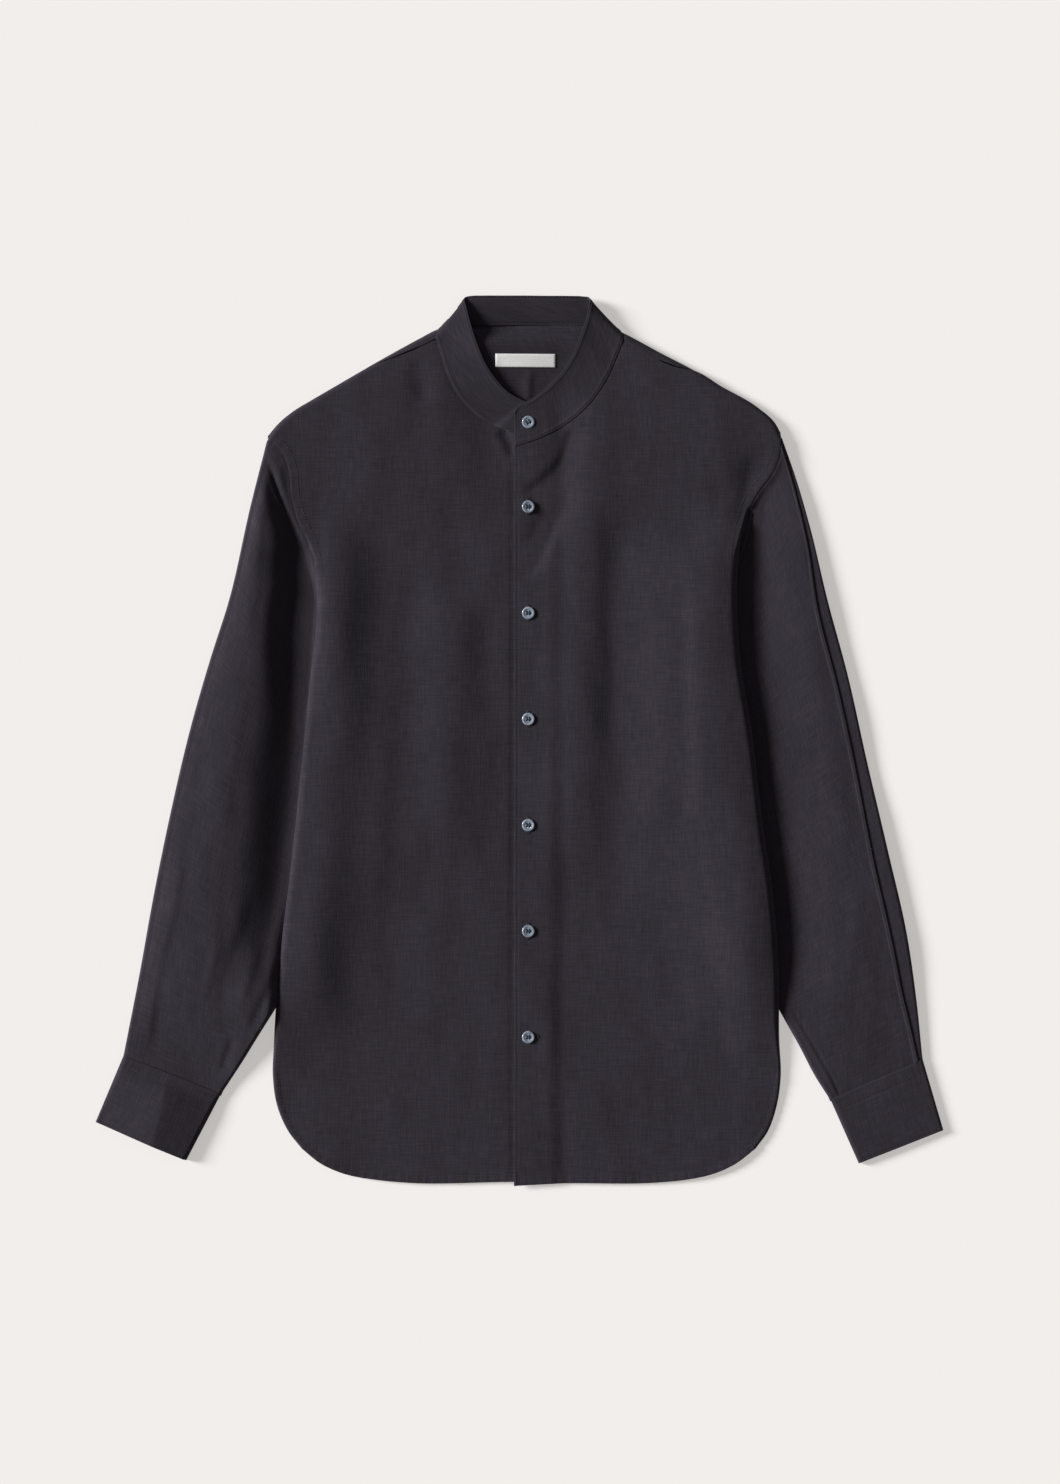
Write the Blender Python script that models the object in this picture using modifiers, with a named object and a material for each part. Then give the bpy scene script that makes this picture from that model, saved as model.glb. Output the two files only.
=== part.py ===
"""A long-sleeved linen shirt with a band collar, buttoned and laid flat on its back.

The tables and functions work in millimetres, and the meshes are made in metres.
X runs toward the wearer's left, Y toward the collar and Z up from the surface the shirt lies on.
Each panel is the garment's outer face, thickened toward the inside of the garment.
"""

from collections import namedtuple
from math import pi

import bpy
import numpy as np

MM = 0.001

# Cloth and trimmings
CLOTH = 1.2
BAND_WALL = 1.6
CUFF_WALL = 1.5
SEAM_GAP = 0.35
HEM_Y = -400.0
YOKE_SEAM_Y = 255.0
CENTRE_TOP_Y = 267.0

# Heights of the outer faces, and the radii of the rolled edges
UNDER_BODY = 3.0
BACK_OVER_SLEEVE = 3.7
FRONT_LOW = 3.0
FRONT_OVER_SLEEVE = 3.9
SHOULDER_RISE = 5.6
SHOULDER_FROM_Y = 150.0
SHOULDER_RUN = 130.0
OVERLAP_RISE = 2.0
OVERLAP_RUN = 16.0
SIDE_EDGE_LOW = 2.6
SIDE_EDGE_LIFT = 3.5
SHOULDER_ROLL = 4.5
SIDE_ROLL = 6.0
SLEEVE_ROLL = 4.0

# The centre of the front stays low under the neck: the share of the rise there, and where it grows to all of it
CENTRE_SHARE = 0.25
CENTRE_HALF_WIDTH = 20.0
CENTRE_RUN = 60.0

# The body lies on the inner part of each sleeve down to where the sleeve comes out from under it
SLEEVE_LEAVES_Y = -241.0
LIFT_RUN = 28.0
LIFT_AHEAD = 36.0
FRONT_LIFTS_EARLIER = 8.0

# The fastening
PLACKET_EDGE = -5.0
UNDER_EDGE = 21.0
BUTTON_X = 8.0
BUTTON_TOP_Y = 286.5
BUTTON_SECOND_Y = 210.5
BUTTON_THIRD_Y = 115.0
BUTTON_SPACING = 95.3
BUTTONS_IN_ROW = 5
BUTTON_RADIUS = 5.7
BUTTON_THICK = 2.5
HOLE_RADIUS = 0.85
HOLE_OFFSET = 1.35

LABEL_SIZE = (54.0, 12.0)
LABEL_THICK = 1.0
LABEL_AT = (5.4, 342.0)

# One half of the shirt. Each row of a table is a point (distance outward from the centre line, y).
Half = namedtuple(
    "Half", "name sign front_edge neck shoulder seam_in armhole side hem sleeve_outer sleeve_inner cuff"
)

LEFT = Half(
    name="left",
    sign=1,
    front_edge=((PLACKET_EDGE, HEM_Y), (PLACKET_EDGE, CENTRE_TOP_Y)),
    neck=((PLACKET_EDGE, 267), (11, 272), (29, 279), (48, 291), (64.5, 306), (79, 327.5), (87, 346), (92.5, 360)),
    shoulder=((92.5, 360), (114, 349.5), (127.5, 341), (143.5, 335), (155, 333.5), (183, 318), (214, 300),
              (230, 285.5), (235, 275)),
    seam_in=((92.5, 6.1), (114, 5.5), (127.5, 6.6), (143.5, 4.6), (155, 0.5), (160, 0)),
    armhole=((235, 275), (233.5, 256), (225.5, 238.5), (216.5, 227), (206, 208), (199, 180), (196, 151)),
    side=((196, 151), (198.5, 74), (208.5, 10), (218.5, -73), (228, -139.5), (233, -206), (233.5, -267),
          (235, -303), (231, -330), (223, -352), (213, -366)),
    hem=((213, -366), (193, -381), (178, -388), (147, -395), (125.5, -397), (34, -398), (PLACKET_EDGE, -400)),
    sleeve_outer=((237, 274), (250, 235), (261.5, 193.5), (277, 127), (295, 60), (312, -16), (331.5, -99.5),
                  (348, -172), (357, -233), (362.5, -286)),
    sleeve_inner=((196, 151), (193, 120), (185, 80), (174, 35), (167, -10), (165, -55), (172, -100),
                  (186, -145), (205, -190), (233, -241), (250.5, -272), (266.5, -302.5), (279, -322)),
    cuff=((362.6, -286.2), (279.3, -321.8), (305.1, -379.8), (381.2, -349.8)),
)

RIGHT = Half(
    name="right",
    sign=-1,
    front_edge=((-UNDER_EDGE, -396.5), (-UNDER_EDGE, 273.5)),
    neck=((-UNDER_EDGE, 273.5), (8.5, 279), (24, 285), (34, 290), (44.5, 299), (54.5, 309.5), (64.5, 327.5),
          (71.5, 350), (75, 360)),
    shoulder=((75, 360), (93, 352), (119, 342), (130, 338.5), (149, 328.5), (168, 317.5), (186, 307), (204, 296),
              (216.5, 285.5), (226.5, 272)),
    seam_in=((75, 8.6), (93, 7.2), (119, 3.3), (130, 1.0), (140, 0)),
    armhole=((226.5, 272), (214, 250), (206, 225), (201, 198), (187, 161), (183, 140)),
    side=((183, 140), (189.5, 44), (196, -22.5), (205.5, -112.5), (214, -182.5), (219, -239), (221, -274.5),
          (222, -300), (217.5, -330), (207.5, -352), (196.5, -366)),
    hem=((196.5, -366), (178, -380.5), (161.5, -388), (126.5, -395), (105, -397), (6, -396.5), (-UNDER_EDGE, -396.5)),
    sleeve_outer=((229, 272), (242.5, 212.5), (261, 127), (279, 70), (296, 10.5), (312.5, -59.5), (327, -129.5),
                  (341, -206), (356, -282.5)),
    sleeve_inner=((183, 140), (180, 110), (173, 70), (163, 25), (156, -20), (154, -62), (160, -105),
                  (174, -150), (193, -195), (219, -240), (233.5, -263), (250.5, -290.5), (268, -317)),
    cuff=((356, -282.6), (268.1, -316.8), (299.7, -377.1), (381.2, -342.5)),
)

# The fold line over the shoulders and the seam at the back of the neck, from right to left (x, y)
YOKE_TOP = ((-226.5, 273.5), (-217.5, 284.5), (-205.5, 294.5), (-184, 308), (-164.5, 319.5), (-119.5, 345.5),
            (-89.5, 362), (-75, 369.5), (-60, 374), (-46, 376), (7, 377), (61, 376), (80, 373), (93, 367),
            (127.5, 348.5), (155.5, 334), (183, 318), (214, 300), (230, 285.5), (235, 276.5))

# How far the yoke wraps over that line, by x: 1 is up to the front seam, 0 stops at a low lip behind the neck
YOKE_WRAP = ((-81, 1.0), (-71, 0.4), (-57, 0.0), (76, 0.0), (88.5, 0.4), (98, 1.0))
YOKE_HEIGHT = 8.6
LIP_HEIGHT = 3.0
LIP_RADIUS = 2.0
LIP_ANGLE = 150.0

# Sections of the band, from its left end over the buttons, round the neck to its right end under them.
# Each row: the seam point and the top-edge point of the outer face.
Section = namedtuple("Section", "seam_x seam_y seam_z top_x top_y top_z")
BAND = (
    Section(-4.6, 268.5, 6.9, -4.6, 296.0, 8.6),
    Section(-1.0, 269.5, 6.9, -2.6, 300.5, 8.8),
    Section(10.5, 273.2, 7.0, 6.5, 305.0, 9.2),
    Section(27.5, 280.5, 7.4, 22.0, 315.5, 10.6),
    Section(46.5, 292.5, 7.9, 36.5, 329.5, 12.4),
    Section(62.5, 307.5, 8.4, 47.0, 345.5, 14.0),
    Section(76.5, 328.5, 8.7, 55.0, 365.0, 15.4),
    Section(84.5, 346.8, 8.8, 60.5, 381.5, 16.4),
    Section(89.6, 360.6, 8.8, 62.6, 391.5, 17.2),
    Section(90.6, 365.2, 7.6, 63.8, 396.2, 16.2),
    Section(89.8, 368.6, 4.6, 64.0, 398.6, 13.4),
    Section(85.8, 372.2, 2.4, 62.6, 399.4, 11.8),
    Section(76.0, 375.0, 1.3, 57.5, 399.8, 12.4),
    Section(58.0, 377.0, 1.0, 44.0, 399.8, 14.6),
    Section(30.0, 377.7, 1.0, 24.0, 399.8, 15.8),
    Section(7.0, 377.9, 1.0, 7.0, 400.0, 16.2),
    Section(-20.0, 377.5, 1.0, -16.0, 400.0, 15.8),
    Section(-42.0, 376.9, 1.0, -34.0, 400.0, 14.6),
    Section(-57.0, 375.2, 1.3, -43.5, 400.0, 12.4),
    Section(-67.0, 373.2, 2.4, -48.0, 399.6, 11.8),
    Section(-71.6, 370.6, 4.6, -49.6, 398.6, 13.4),
    Section(-73.0, 366.8, 7.6, -49.4, 396.0, 16.2),
    Section(-71.6, 360.8, 8.8, -48.0, 391.5, 17.2),
    Section(-68.4, 350.2, 8.8, -44.6, 378.0, 16.2),
    Section(-61.6, 329.5, 8.6, -38.0, 357.0, 14.8),
    Section(-52.0, 312.0, 8.2, -29.5, 337.5, 12.4),
    Section(-42.6, 301.5, 7.4, -20.5, 324.5, 9.8),
    Section(-32.6, 292.6, 6.4, -10.0, 313.5, 7.4),
    Section(-23.0, 287.6, 5.4, 1.5, 307.0, 6.4),
    Section(-8.2, 281.8, 4.9, 9.5, 304.5, 6.0),
    Section(6.0, 278.6, 4.8, 15.5, 304.5, 5.9),
    Section(18.5, 277.0, 4.8, 20.5, 303.0, 5.8),
)

# Large soft folds in the fronts: a line from (x0, y0) to (x1, y1), its half width and its height.
Fold = namedtuple("Fold", "x0 y0 x1 y1 half_width height")
LEFT_FRONT_FOLDS = (
    Fold(62, 222, 50, -60, 17, 3.6),
    Fold(86, 190, 78, -30, 12, -1.2),
    Fold(120, 230, 128, -160, 22, 1.8),
    Fold(168, 190, 186, -120, 13, 2.2),
    Fold(46, 262, 14, 226, 5, -1.6),
    Fold(56, 270, 20, 226, 8, 1.6),
    Fold(24, 184, 2, 150, 5, -1.6),
)
RIGHT_FRONT_FOLDS = (
    Fold(-168, 235, -176, 30, 12, 2.6),
    Fold(-147, 215, -152, 60, 13, -1.6),
    Fold(-66, 120, -70, -120, 22, 1.8),
    Fold(-28, 130, -26, 10, 15, -0.9),
    Fold(-118, 160, -130, -150, 16, 1.0),
    Fold(-22, 268, -8, 256, 6, -1.0),
)
# The soft ridge inside each side edge of the body
SIDE_CREST = 4.6
SIDE_CREST_IN = 17.0
SIDE_CREST_WIDTH = 17.0
CREST_SHARE_AT_HEM = 0.55
CREST_FULL_FROM_Y = -330.0
CREST_RUN = 140.0

# The crown of each sleeve, the lower strip outside the left one's knife fold (its width at the armhole and
# at the cuff), and how far from the body the sleeve has risen from under it
SleeveForm = namedtuple("SleeveForm", "crown strip_height strip_at_armhole strip_at_cuff rise_from rise_to")
LEFT_SLEEVE = SleeveForm(9.2, 5.0, 13.0, 4.5, 3.0, 24.0)
RIGHT_SLEEVE = SleeveForm(11.0, 9.0, 0.0, 0.0, 10.0, 46.0)
RIGHT_SLEEVE_CREASE = Fold(-289, -50, -332, -272, 4, -1.8)
SLEEVE_AT_ARMHOLE = 8.2
ARMHOLE_BLEND = 0.32
ARMHOLE_CLEAR = (1.1, -0.69)
CUFF_HEIGHT = 6.4
CUFF_CROWN = 0.5

NAVY_LINEN = (0.030, 0.027, 0.037, 1.0)
NAVY_BAND = (0.032, 0.029, 0.040, 1.0)
LABEL_WHITE = (0.80, 0.80, 0.78, 1.0)
BUTTON_BLUE = (0.20, 0.23, 0.29, 1.0)


def smoothstep(value):
    """0 below 0, 1 above 1 and a smooth S between: 3 t^2 - 2 t^3."""
    t = np.clip(value, 0.0, 1.0)
    return t * t * (3.0 - 2.0 * t)


def through(points, share):
    """The smooth curve through the points, at shares of its chord length (cubic Hermite spans)."""
    pts = np.asarray(points, float)
    share = np.asarray(share, float)
    knots = np.concatenate([[0.0], np.cumsum(np.linalg.norm(np.diff(pts, axis=0), axis=1))])
    knots /= knots[-1]
    slopes = np.diff(pts, axis=0) / np.diff(knots)[:, None]
    weight = np.diff(knots)
    tangents = np.empty_like(pts)
    tangents[0], tangents[-1] = slopes[0], slopes[-1]
    before, after = weight[:-1, None], weight[1:, None]
    tangents[1:-1] = (after * slopes[:-1] + before * slopes[1:]) / (before + after)
    span = np.clip(np.searchsorted(knots, share, side="right") - 1, 0, len(pts) - 2)
    width = (knots[span + 1] - knots[span])[..., None]
    t = (share[..., None] - knots[span][..., None]) / width
    return (
        (2 * t**3 - 3 * t**2 + 1) * pts[span]
        + (t**3 - 2 * t**2 + t) * width * tangents[span]
        + (3 * t**2 - 2 * t**3) * pts[span + 1]
        + (t**3 - t**2) * width * tangents[span + 1]
    )


def length_of(points):
    return np.linalg.norm(np.diff(np.asarray(points, float), axis=0), axis=1).sum()


def joined(*tables):
    """Tables end to end, each sharing its first point with the last one's end."""
    points = list(tables[0])
    for table in tables[1:]:
        points.extend(table[1:])
    return tuple(points)


def x_at(points, y):
    """The outward distance of an edge at height y, held at its end values beyond them."""
    rows = sorted((py, px) for px, py in points)
    return np.interp(y, [row[0] for row in rows], [row[1] for row in rows])


def ridge(fold, x, y):
    """A soft ridge or trough along a line: Gaussian across it, smooth at both ends."""
    along = np.array([fold.x1 - fold.x0, fold.y1 - fold.y0])
    run = np.hypot(*along)
    along = along / run
    s = ((x - fold.x0) * along[0] + (y - fold.y0) * along[1]) / run
    across = (x - fold.x0) * -along[1] + (y - fold.y0) * along[0]
    ends = smoothstep(s / 0.22 + 0.5) * smoothstep((1.0 - s) / 0.22 + 0.5)
    return fold.height * ends * np.exp(-((across / fold.half_width) ** 2))


def over_sleeve(half, x, y, earlier=0.0):
    """1 where the body lies on the tucked part of the sleeve, fading to 0 around it."""
    above = np.maximum(y - half.side[0][1], 0.0)
    below = np.maximum(SLEEVE_LEAVES_Y - y, 0.0)
    edge = x_at(half.sleeve_inner, y) + 0.9 * above + 0.2 * below
    return smoothstep((x * half.sign - edge + LIFT_AHEAD + earlier) / LIFT_RUN)


def front_height(half, x, y):
    """The outer face of a front before its edges roll down."""
    underarm = half.side[0][1]
    top = smoothstep((y - SHOULDER_FROM_Y) / SHOULDER_RUN)
    off_centre = smoothstep((np.abs(x) - CENTRE_HALF_WIDTH) / CENTRE_RUN)
    z = FRONT_LOW + SHOULDER_RISE * top * (CENTRE_SHARE + (1.0 - CENTRE_SHARE) * off_centre)
    z = z + FRONT_OVER_SLEEVE * over_sleeve(half, x, y, FRONT_LIFTS_EARLIER) * (1.0 - top)

    inside = x_at(half.side, y) - x * half.sign
    below_arm = smoothstep((underarm + 40.0 - y) / 60.0)
    full = smoothstep((y - CREST_FULL_FROM_Y) / CREST_RUN)
    crest = SIDE_CREST * below_arm * (CREST_SHARE_AT_HEM + (1.0 - CREST_SHARE_AT_HEM) * full)
    z = z + crest * np.exp(-(((inside - SIDE_CREST_IN) / SIDE_CREST_WIDTH) ** 2))
    for fold in LEFT_FRONT_FOLDS if half.sign > 0 else RIGHT_FRONT_FOLDS:
        z = z + ridge(fold, x, y)
    z = np.maximum(z, FRONT_LOW - 0.1)
    if half.sign > 0:
        z = z + OVERLAP_RISE * smoothstep((UNDER_EDGE + OVERLAP_RUN + 4.0 - x) / OVERLAP_RUN)
    return z


def coons(bottom, top, left, right, u, v):
    """The patch between four edge curves: bilinear blends of the edges, less the corners counted twice."""
    u3, v3 = u[..., None], v[..., None]
    edges = (1 - v3) * through(bottom, u) + v3 * through(top, u)
    edges = edges + (1 - u3) * through(left, v) + u3 * through(right, v)
    c = [np.asarray(p, float) for p in (bottom[0], bottom[-1], top[0], top[-1])]
    corners = (1 - v3) * ((1 - u3) * c[0] + u3 * c[1]) + v3 * ((1 - u3) * c[2] + u3 * c[3])
    return edges - corners


def edge_spaced(count, length, radius):
    """Distances in from a rolled edge: a few rows round the roll, then even steps to the far side."""
    roll = radius * (1.0 - np.cos(np.linspace(0.0, pi / 2, 5)))
    rest = np.linspace(radius, length, count + 1)[1:]
    return np.concatenate([roll, rest])


def rolled(depth, radius):
    """Height share of a quarter-round roll at a distance in from its edge."""
    inside = np.clip(1.0 - depth / radius, 0.0, 1.0)
    return np.sqrt(1.0 - inside**2)


def front_surface(half, columns=13, rows=22):
    """A front panel as a grid of points, from its centre edge out and from its hem up."""
    bottom = tuple(reversed(half.hem))
    top = joined(half.neck, half.shoulder)
    right = joined(tuple(reversed(half.side)), tuple(reversed(half.armhole)))
    left = half.front_edge
    wide = length_of(bottom)
    high = length_of(right)
    across = 1.0 - edge_spaced(columns, wide, SIDE_ROLL)[::-1] / wide
    up = 1.0 - edge_spaced(rows, high, SHOULDER_ROLL)[::-1] / high
    across[0] = up[0] = 0.0
    v, u = np.meshgrid(up, across, indexing="ij")
    xy = coons(bottom, top, left, right, u, v)
    x = xy[..., 0] * half.sign
    y = xy[..., 1]
    z = front_height(half, x, y)

    side_edge = SIDE_EDGE_LOW + SIDE_EDGE_LIFT * over_sleeve(half, x, y)
    depth = (1.0 - u) * wide
    low = smoothstep((half.side[0][1] + 14.0 - y) / 22.0)
    z_side = side_edge + (z - side_edge) * rolled(depth, SIDE_ROLL)
    z = z + (z_side - z) * low

    depth = (1.0 - v) * high + seam_inset(x)
    past_neck = smoothstep((x * half.sign - half.neck[-1][0]) / 6.0 + 1.0)
    z_top = 0.5 * z + 0.5 * z * rolled(depth, SHOULDER_ROLL)
    return np.stack([x, y, z + (z_top - z) * past_neck], axis=-1)


def back_surface(columns=26, rows=24):
    """The back panel: flat on the ground between the sleeves, and lying over their tucked parts."""
    inset = 1.0
    right_hem = tuple((-x, y + inset) for x, y in RIGHT.hem[:-1])
    left_hem = tuple((x, y + inset) for x, y in reversed(LEFT.hem[:-1]))
    hem = joined(right_hem, left_hem)

    def edge(half):
        armhole = [p for p in reversed(half.armhole) if p[1] < YOKE_SEAM_Y]
        top_x = x_at(half.armhole, YOKE_SEAM_Y)
        points = list(reversed(half.side)) + armhole[1:] + [(float(top_x), YOKE_SEAM_Y)]
        return tuple(((x - inset) * half.sign, y) for x, y in points)

    left, right = edge(RIGHT), edge(LEFT)
    top = (left[-1], right[-1])
    v, u = np.meshgrid(np.linspace(0, 1, rows + 1), np.linspace(0, 1, columns + 1), indexing="ij")
    xy = coons((left[0],) + hem[1:-1] + (right[0],), top, left, right, u, v)
    x, y = xy[..., 0], xy[..., 1]
    lift = np.where(x > 0, over_sleeve(LEFT, x, y), over_sleeve(RIGHT, x, y))
    return np.stack([x, y, BACK_OVER_SLEEVE * lift], axis=-1)


def seam_inset(x):
    """How far the front seam lies in from the shoulder fold, at world x."""
    left = np.interp(x, [row[0] for row in LEFT.seam_in], [row[1] for row in LEFT.seam_in])
    right = np.interp(-x, [row[0] for row in RIGHT.seam_in], [row[1] for row in RIGHT.seam_in])
    return np.where(x > 0, left, right)


def yoke_surface(stations=44, roll_steps=6, flat_steps=5):
    """The yoke: from the front seams over the shoulder fold, and flat beneath to the yoke seam."""
    share = np.linspace(0.0, 1.0, stations + 1)
    line = through(YOKE_TOP, share)
    tangent = np.gradient(line, axis=0)
    tangent /= np.linalg.norm(tangent, axis=1)[:, None]
    inward = np.stack([tangent[:, 1], -tangent[:, 0]], axis=1)
    x = line[:, 0]

    wrap = np.interp(x, [row[0] for row in YOKE_WRAP], [row[1] for row in YOKE_WRAP])
    height = LIP_HEIGHT + (YOKE_HEIGHT - LIP_HEIGHT) * wrap
    radius = LIP_RADIUS + (SHOULDER_ROLL - LIP_RADIUS) * wrap
    depth = seam_inset(x) - 0.9
    on_roll = np.arcsin(np.clip(1.0 - depth / radius, 0.0, 1.0))
    past_fold = 0.26 * np.clip(-depth / 0.6, 0.0, 1.0)
    start = np.radians(LIP_ANGLE) * (1 - wrap) + (on_roll + past_fold) * wrap
    reach = np.clip(depth - radius, 0.0, None) * wrap

    first = radius - radius * np.sin(start) + reach
    points = [np.concatenate([line + inward * first[:, None], (height / 2 * (1 + np.cos(start)))[:, None]], axis=1)]
    for step in range(1, roll_steps + 1):
        angle = start + (pi - start) * step / roll_steps
        in_by = radius - radius * np.sin(angle)
        z = height / 2 * (1 + np.cos(angle))
        points.append(np.concatenate([line + inward * in_by[:, None], z[:, None]], axis=1))

    seam_ends = (1.0 - x_at(RIGHT.armhole, YOKE_SEAM_Y), x_at(LEFT.armhole, YOKE_SEAM_Y) - 1.0)
    seam = np.stack([np.interp(share, (0, 1), seam_ends), np.full_like(share, YOKE_SEAM_Y + SEAM_GAP)], axis=1)
    base = points[-1][:, :2]
    for step in range(1, flat_steps + 1):
        t = step / flat_steps
        flat = base * (1 - t) + seam * t
        points.append(np.concatenate([flat, np.zeros((len(share), 1))], axis=1))
    return np.stack(points, axis=0)


def sleeve_height(half, form, x, y, depth, s):
    """The outer face of a sleeve's upper layer, at outward distance x, by its distance in from the outer edge."""
    underarm = half.side[0][1]
    edge = x_at(joined(half.armhole, half.side), y)
    above_arm = smoothstep((y - underarm) / 55.0)
    clear_of_body = smoothstep((SLEEVE_LEAVES_Y - 5.0 - y) / 40.0) * smoothstep(depth / 10.0)
    risen = smoothstep((x - edge - form.rise_from) / (form.rise_to - form.rise_from))
    risen = risen + (1.0 - risen) * above_arm
    risen = risen + (1.0 - risen) * clear_of_body

    crown = form.crown + (SLEEVE_AT_ARMHOLE - form.crown) * above_arm
    crown = crown + (CUFF_HEIGHT - crown) * smoothstep((s - 0.8) / 0.2)
    if form.strip_at_armhole > 0:
        strip = form.strip_at_armhole + (form.strip_at_cuff - form.strip_at_armhole) * s
        strip_height = form.strip_height + (crown - form.strip_height) * smoothstep(1.0 - s / 0.1)
        crown = strip_height + (crown - strip_height) * smoothstep((depth - strip) / 3.0)
    z = UNDER_BODY + (crown - UNDER_BODY) * risen
    if half.sign < 0:
        z = z + ridge(RIGHT_SLEEVE_CREASE, -x, y) * risen

    tucked = smoothstep((edge + 1.0 - x) / 4.0) * smoothstep((underarm + 6.0 - y) / 8.0)
    tucked = tucked * smoothstep((y - SLEEVE_LEAVES_Y + 5.0) / 8.0)
    return z + (UNDER_BODY - z) * tucked


def sleeve_surface(half, form, lengthwise=26, top_points=15, bottom_points=6):
    """A sleeve laid flat: rings from the armhole to the cuff, each a flattened tube with its base on the ground."""
    even = np.linspace(0.0, 1.0, lengthwise + 1)
    s = even - 0.06 * np.sin(2 * pi * even)
    outer = through(half.sleeve_outer, s)
    inner = through(half.sleeve_inner, s)
    width = np.linalg.norm(inner - outer, axis=1)
    direction = (inner - outer) / width[:, None]
    inner_roll = UNDER_BODY / 2

    # Each line along the sleeve: its distance in from the outer edge, and its height or share of the full height
    lines = []
    for angle in (0.75 * pi, 0.5 * pi, 0.25 * pi):
        lines.append((SLEEVE_ROLL * (1 - np.sin(angle)) + 0 * s, None, 0.5 * (1 + np.cos(angle))))
    for t in np.linspace(0.0, 1.0, top_points) ** 1.15:
        lines.append((SLEEVE_ROLL + (width - SLEEVE_ROLL - inner_roll) * t, None, 1.0))
    lines.append((width, inner_roll, None))
    for t in np.linspace(0.0, 1.0, bottom_points):
        lines.append(((width - inner_roll) * (1 - t) + SLEEVE_ROLL * t, 0.0, None))

    # Near the armhole the straight rings bend to follow its seam, and they start just clear of it
    near = np.clip(1.0 - s / ARMHOLE_BLEND, 0.0, 1.0) ** 2
    clear = np.asarray(ARMHOLE_CLEAR) * np.clip(1.0 - s / 0.1, 0.0, 1.0)[:, None]
    columns = []
    for depth, height, share in lines:
        f = np.clip(depth / width, 0.0, 1.0)
        bend = through(half.armhole, f) - (outer[0] * (1 - f[:, None]) + inner[0] * f[:, None])
        xy = outer + direction * depth[:, None] + near[:, None] * bend + clear
        if share is None:
            z = np.full_like(s, height)
        else:
            z = share * sleeve_height(half, form, xy[:, 0], xy[:, 1], np.maximum(depth, SLEEVE_ROLL), s)
        columns.append(np.stack([xy[:, 0] * half.sign, xy[:, 1], z], axis=1))
    return np.stack(columns, axis=1)


def cuff_surface(half, rings=5, across=8):
    """A cuff: a flattened tube between the sleeve's end and its own free edge."""
    outer_top, inner_top, inner_end, outer_end = (np.asarray(corner, float) for corner in half.cuff)
    length = np.linalg.norm(inner_end + outer_end - outer_top - inner_top) / 2
    angles = np.linspace(0.0, pi, 7)[1:-1]
    shares = np.linspace(0.0, 1.0, across)
    surface = []
    for t in np.linspace(0.5 / length, 1.0, rings):
        outer = outer_top * (1 - t) + outer_end * t
        inner = inner_top * (1 - t) + inner_end * t
        width = np.linalg.norm(inner - outer)
        height = CUFF_HEIGHT * (1 - 0.1 * t)
        radius = height / 2
        flat = width - 2 * radius
        rolled_in = radius * (1 - np.sin(angles))
        side_z = radius * (1 + np.cos(angles))
        depth = np.concatenate([rolled_in[::-1], radius + flat * shares, width - rolled_in,
                                width - radius - flat * np.linspace(0.0, 1.0, 3)])
        z = np.concatenate([side_z[::-1], height + CUFF_CROWN * np.sin(pi * shares), side_z, np.zeros(3)])
        ring = outer + (inner - outer) / width * depth[:, None]
        surface.append(np.column_stack([ring[:, 0] * half.sign, ring[:, 1], z]))
    return np.stack(surface, axis=0)


def band_surface(rows=4):
    """The collar band: straight lines from the seam to the top edge at each section."""
    table = np.asarray(BAND, float)
    level = np.linspace(0.0, 1.0, rows + 1)[None, :, None]
    return table[:, None, :3] * (1 - level) + table[:, None, 3:] * level


def principled(name, colour, roughness):
    material = bpy.data.materials.new(name)
    material.use_nodes = True
    shader = material.node_tree.nodes["Principled BSDF"]
    shader.inputs["Base Color"].default_value = colour
    shader.inputs["Roughness"].default_value = roughness
    shader.inputs["Metallic"].default_value = 0.0
    return material


def add_object(name, mesh, collection, material):
    mesh.materials.append(material)
    obj = bpy.data.objects.new(name, mesh)
    collection.objects.link(obj)
    return obj


def grid_mesh(name, grid, ring=False):
    """A mesh of quads over a grid of points (rows, columns, xyz), closed round the columns when it is a ring."""
    rows, columns = grid.shape[:2]
    number = np.arange(rows * columns).reshape(rows, columns)
    if ring:
        number = np.concatenate([number, number[:, :1]], axis=1)
    a, b, c, d = number[:-1, :-1], number[:-1, 1:], number[1:, 1:], number[1:, :-1]
    faces = np.stack([a, b, c, d], axis=-1).reshape(-1, 4)
    mesh = bpy.data.meshes.new(name)
    mesh.from_pydata((grid.reshape(-1, 3) * MM).tolist(), [], faces.tolist())
    mesh.validate()
    return mesh


def cloth_piece(name, grid, collection, material, wall=CLOTH, ring=False, flip=False):
    """An open surface given the wall of the cloth toward the garment's inside."""
    if flip:
        grid = grid[::-1]
    obj = add_object(name, grid_mesh(name, grid, ring), collection, material)
    solid = obj.modifiers.new("cloth wall", "SOLIDIFY")
    solid.thickness = wall * MM
    solid.offset = -1.0
    solid.use_rim = True
    solid.use_quality_normals = True
    return obj


def move_to(obj, collection):
    for owner in list(obj.users_collection):
        owner.objects.unlink(obj)
    collection.objects.link(obj)


def button_places():
    ys = [BUTTON_TOP_Y, BUTTON_SECOND_Y] + [BUTTON_THIRD_Y - BUTTON_SPACING * k for k in range(BUTTONS_IN_ROW)]
    return [(BUTTON_X, y) for y in ys]


def seat_on_front(x, y):
    """The plane that a button at (x, y) rests on, its height and slope: a fit to the front under its disc."""
    across, up = np.meshgrid(np.linspace(-1, 1, 9), np.linspace(-1, 1, 9))
    inside = across**2 + up**2 <= 1.0
    dx, dy = across[inside] * BUTTON_RADIUS, up[inside] * BUTTON_RADIUS
    z = front_height(LEFT, x + dx, y + dy)
    terms = np.stack([np.ones_like(dx), dx, dy], axis=1)
    fit = np.linalg.lstsq(terms, z, rcond=None)[0]
    return fit[0] + (z - terms @ fit).max(), (fit[1], fit[2])


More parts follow.
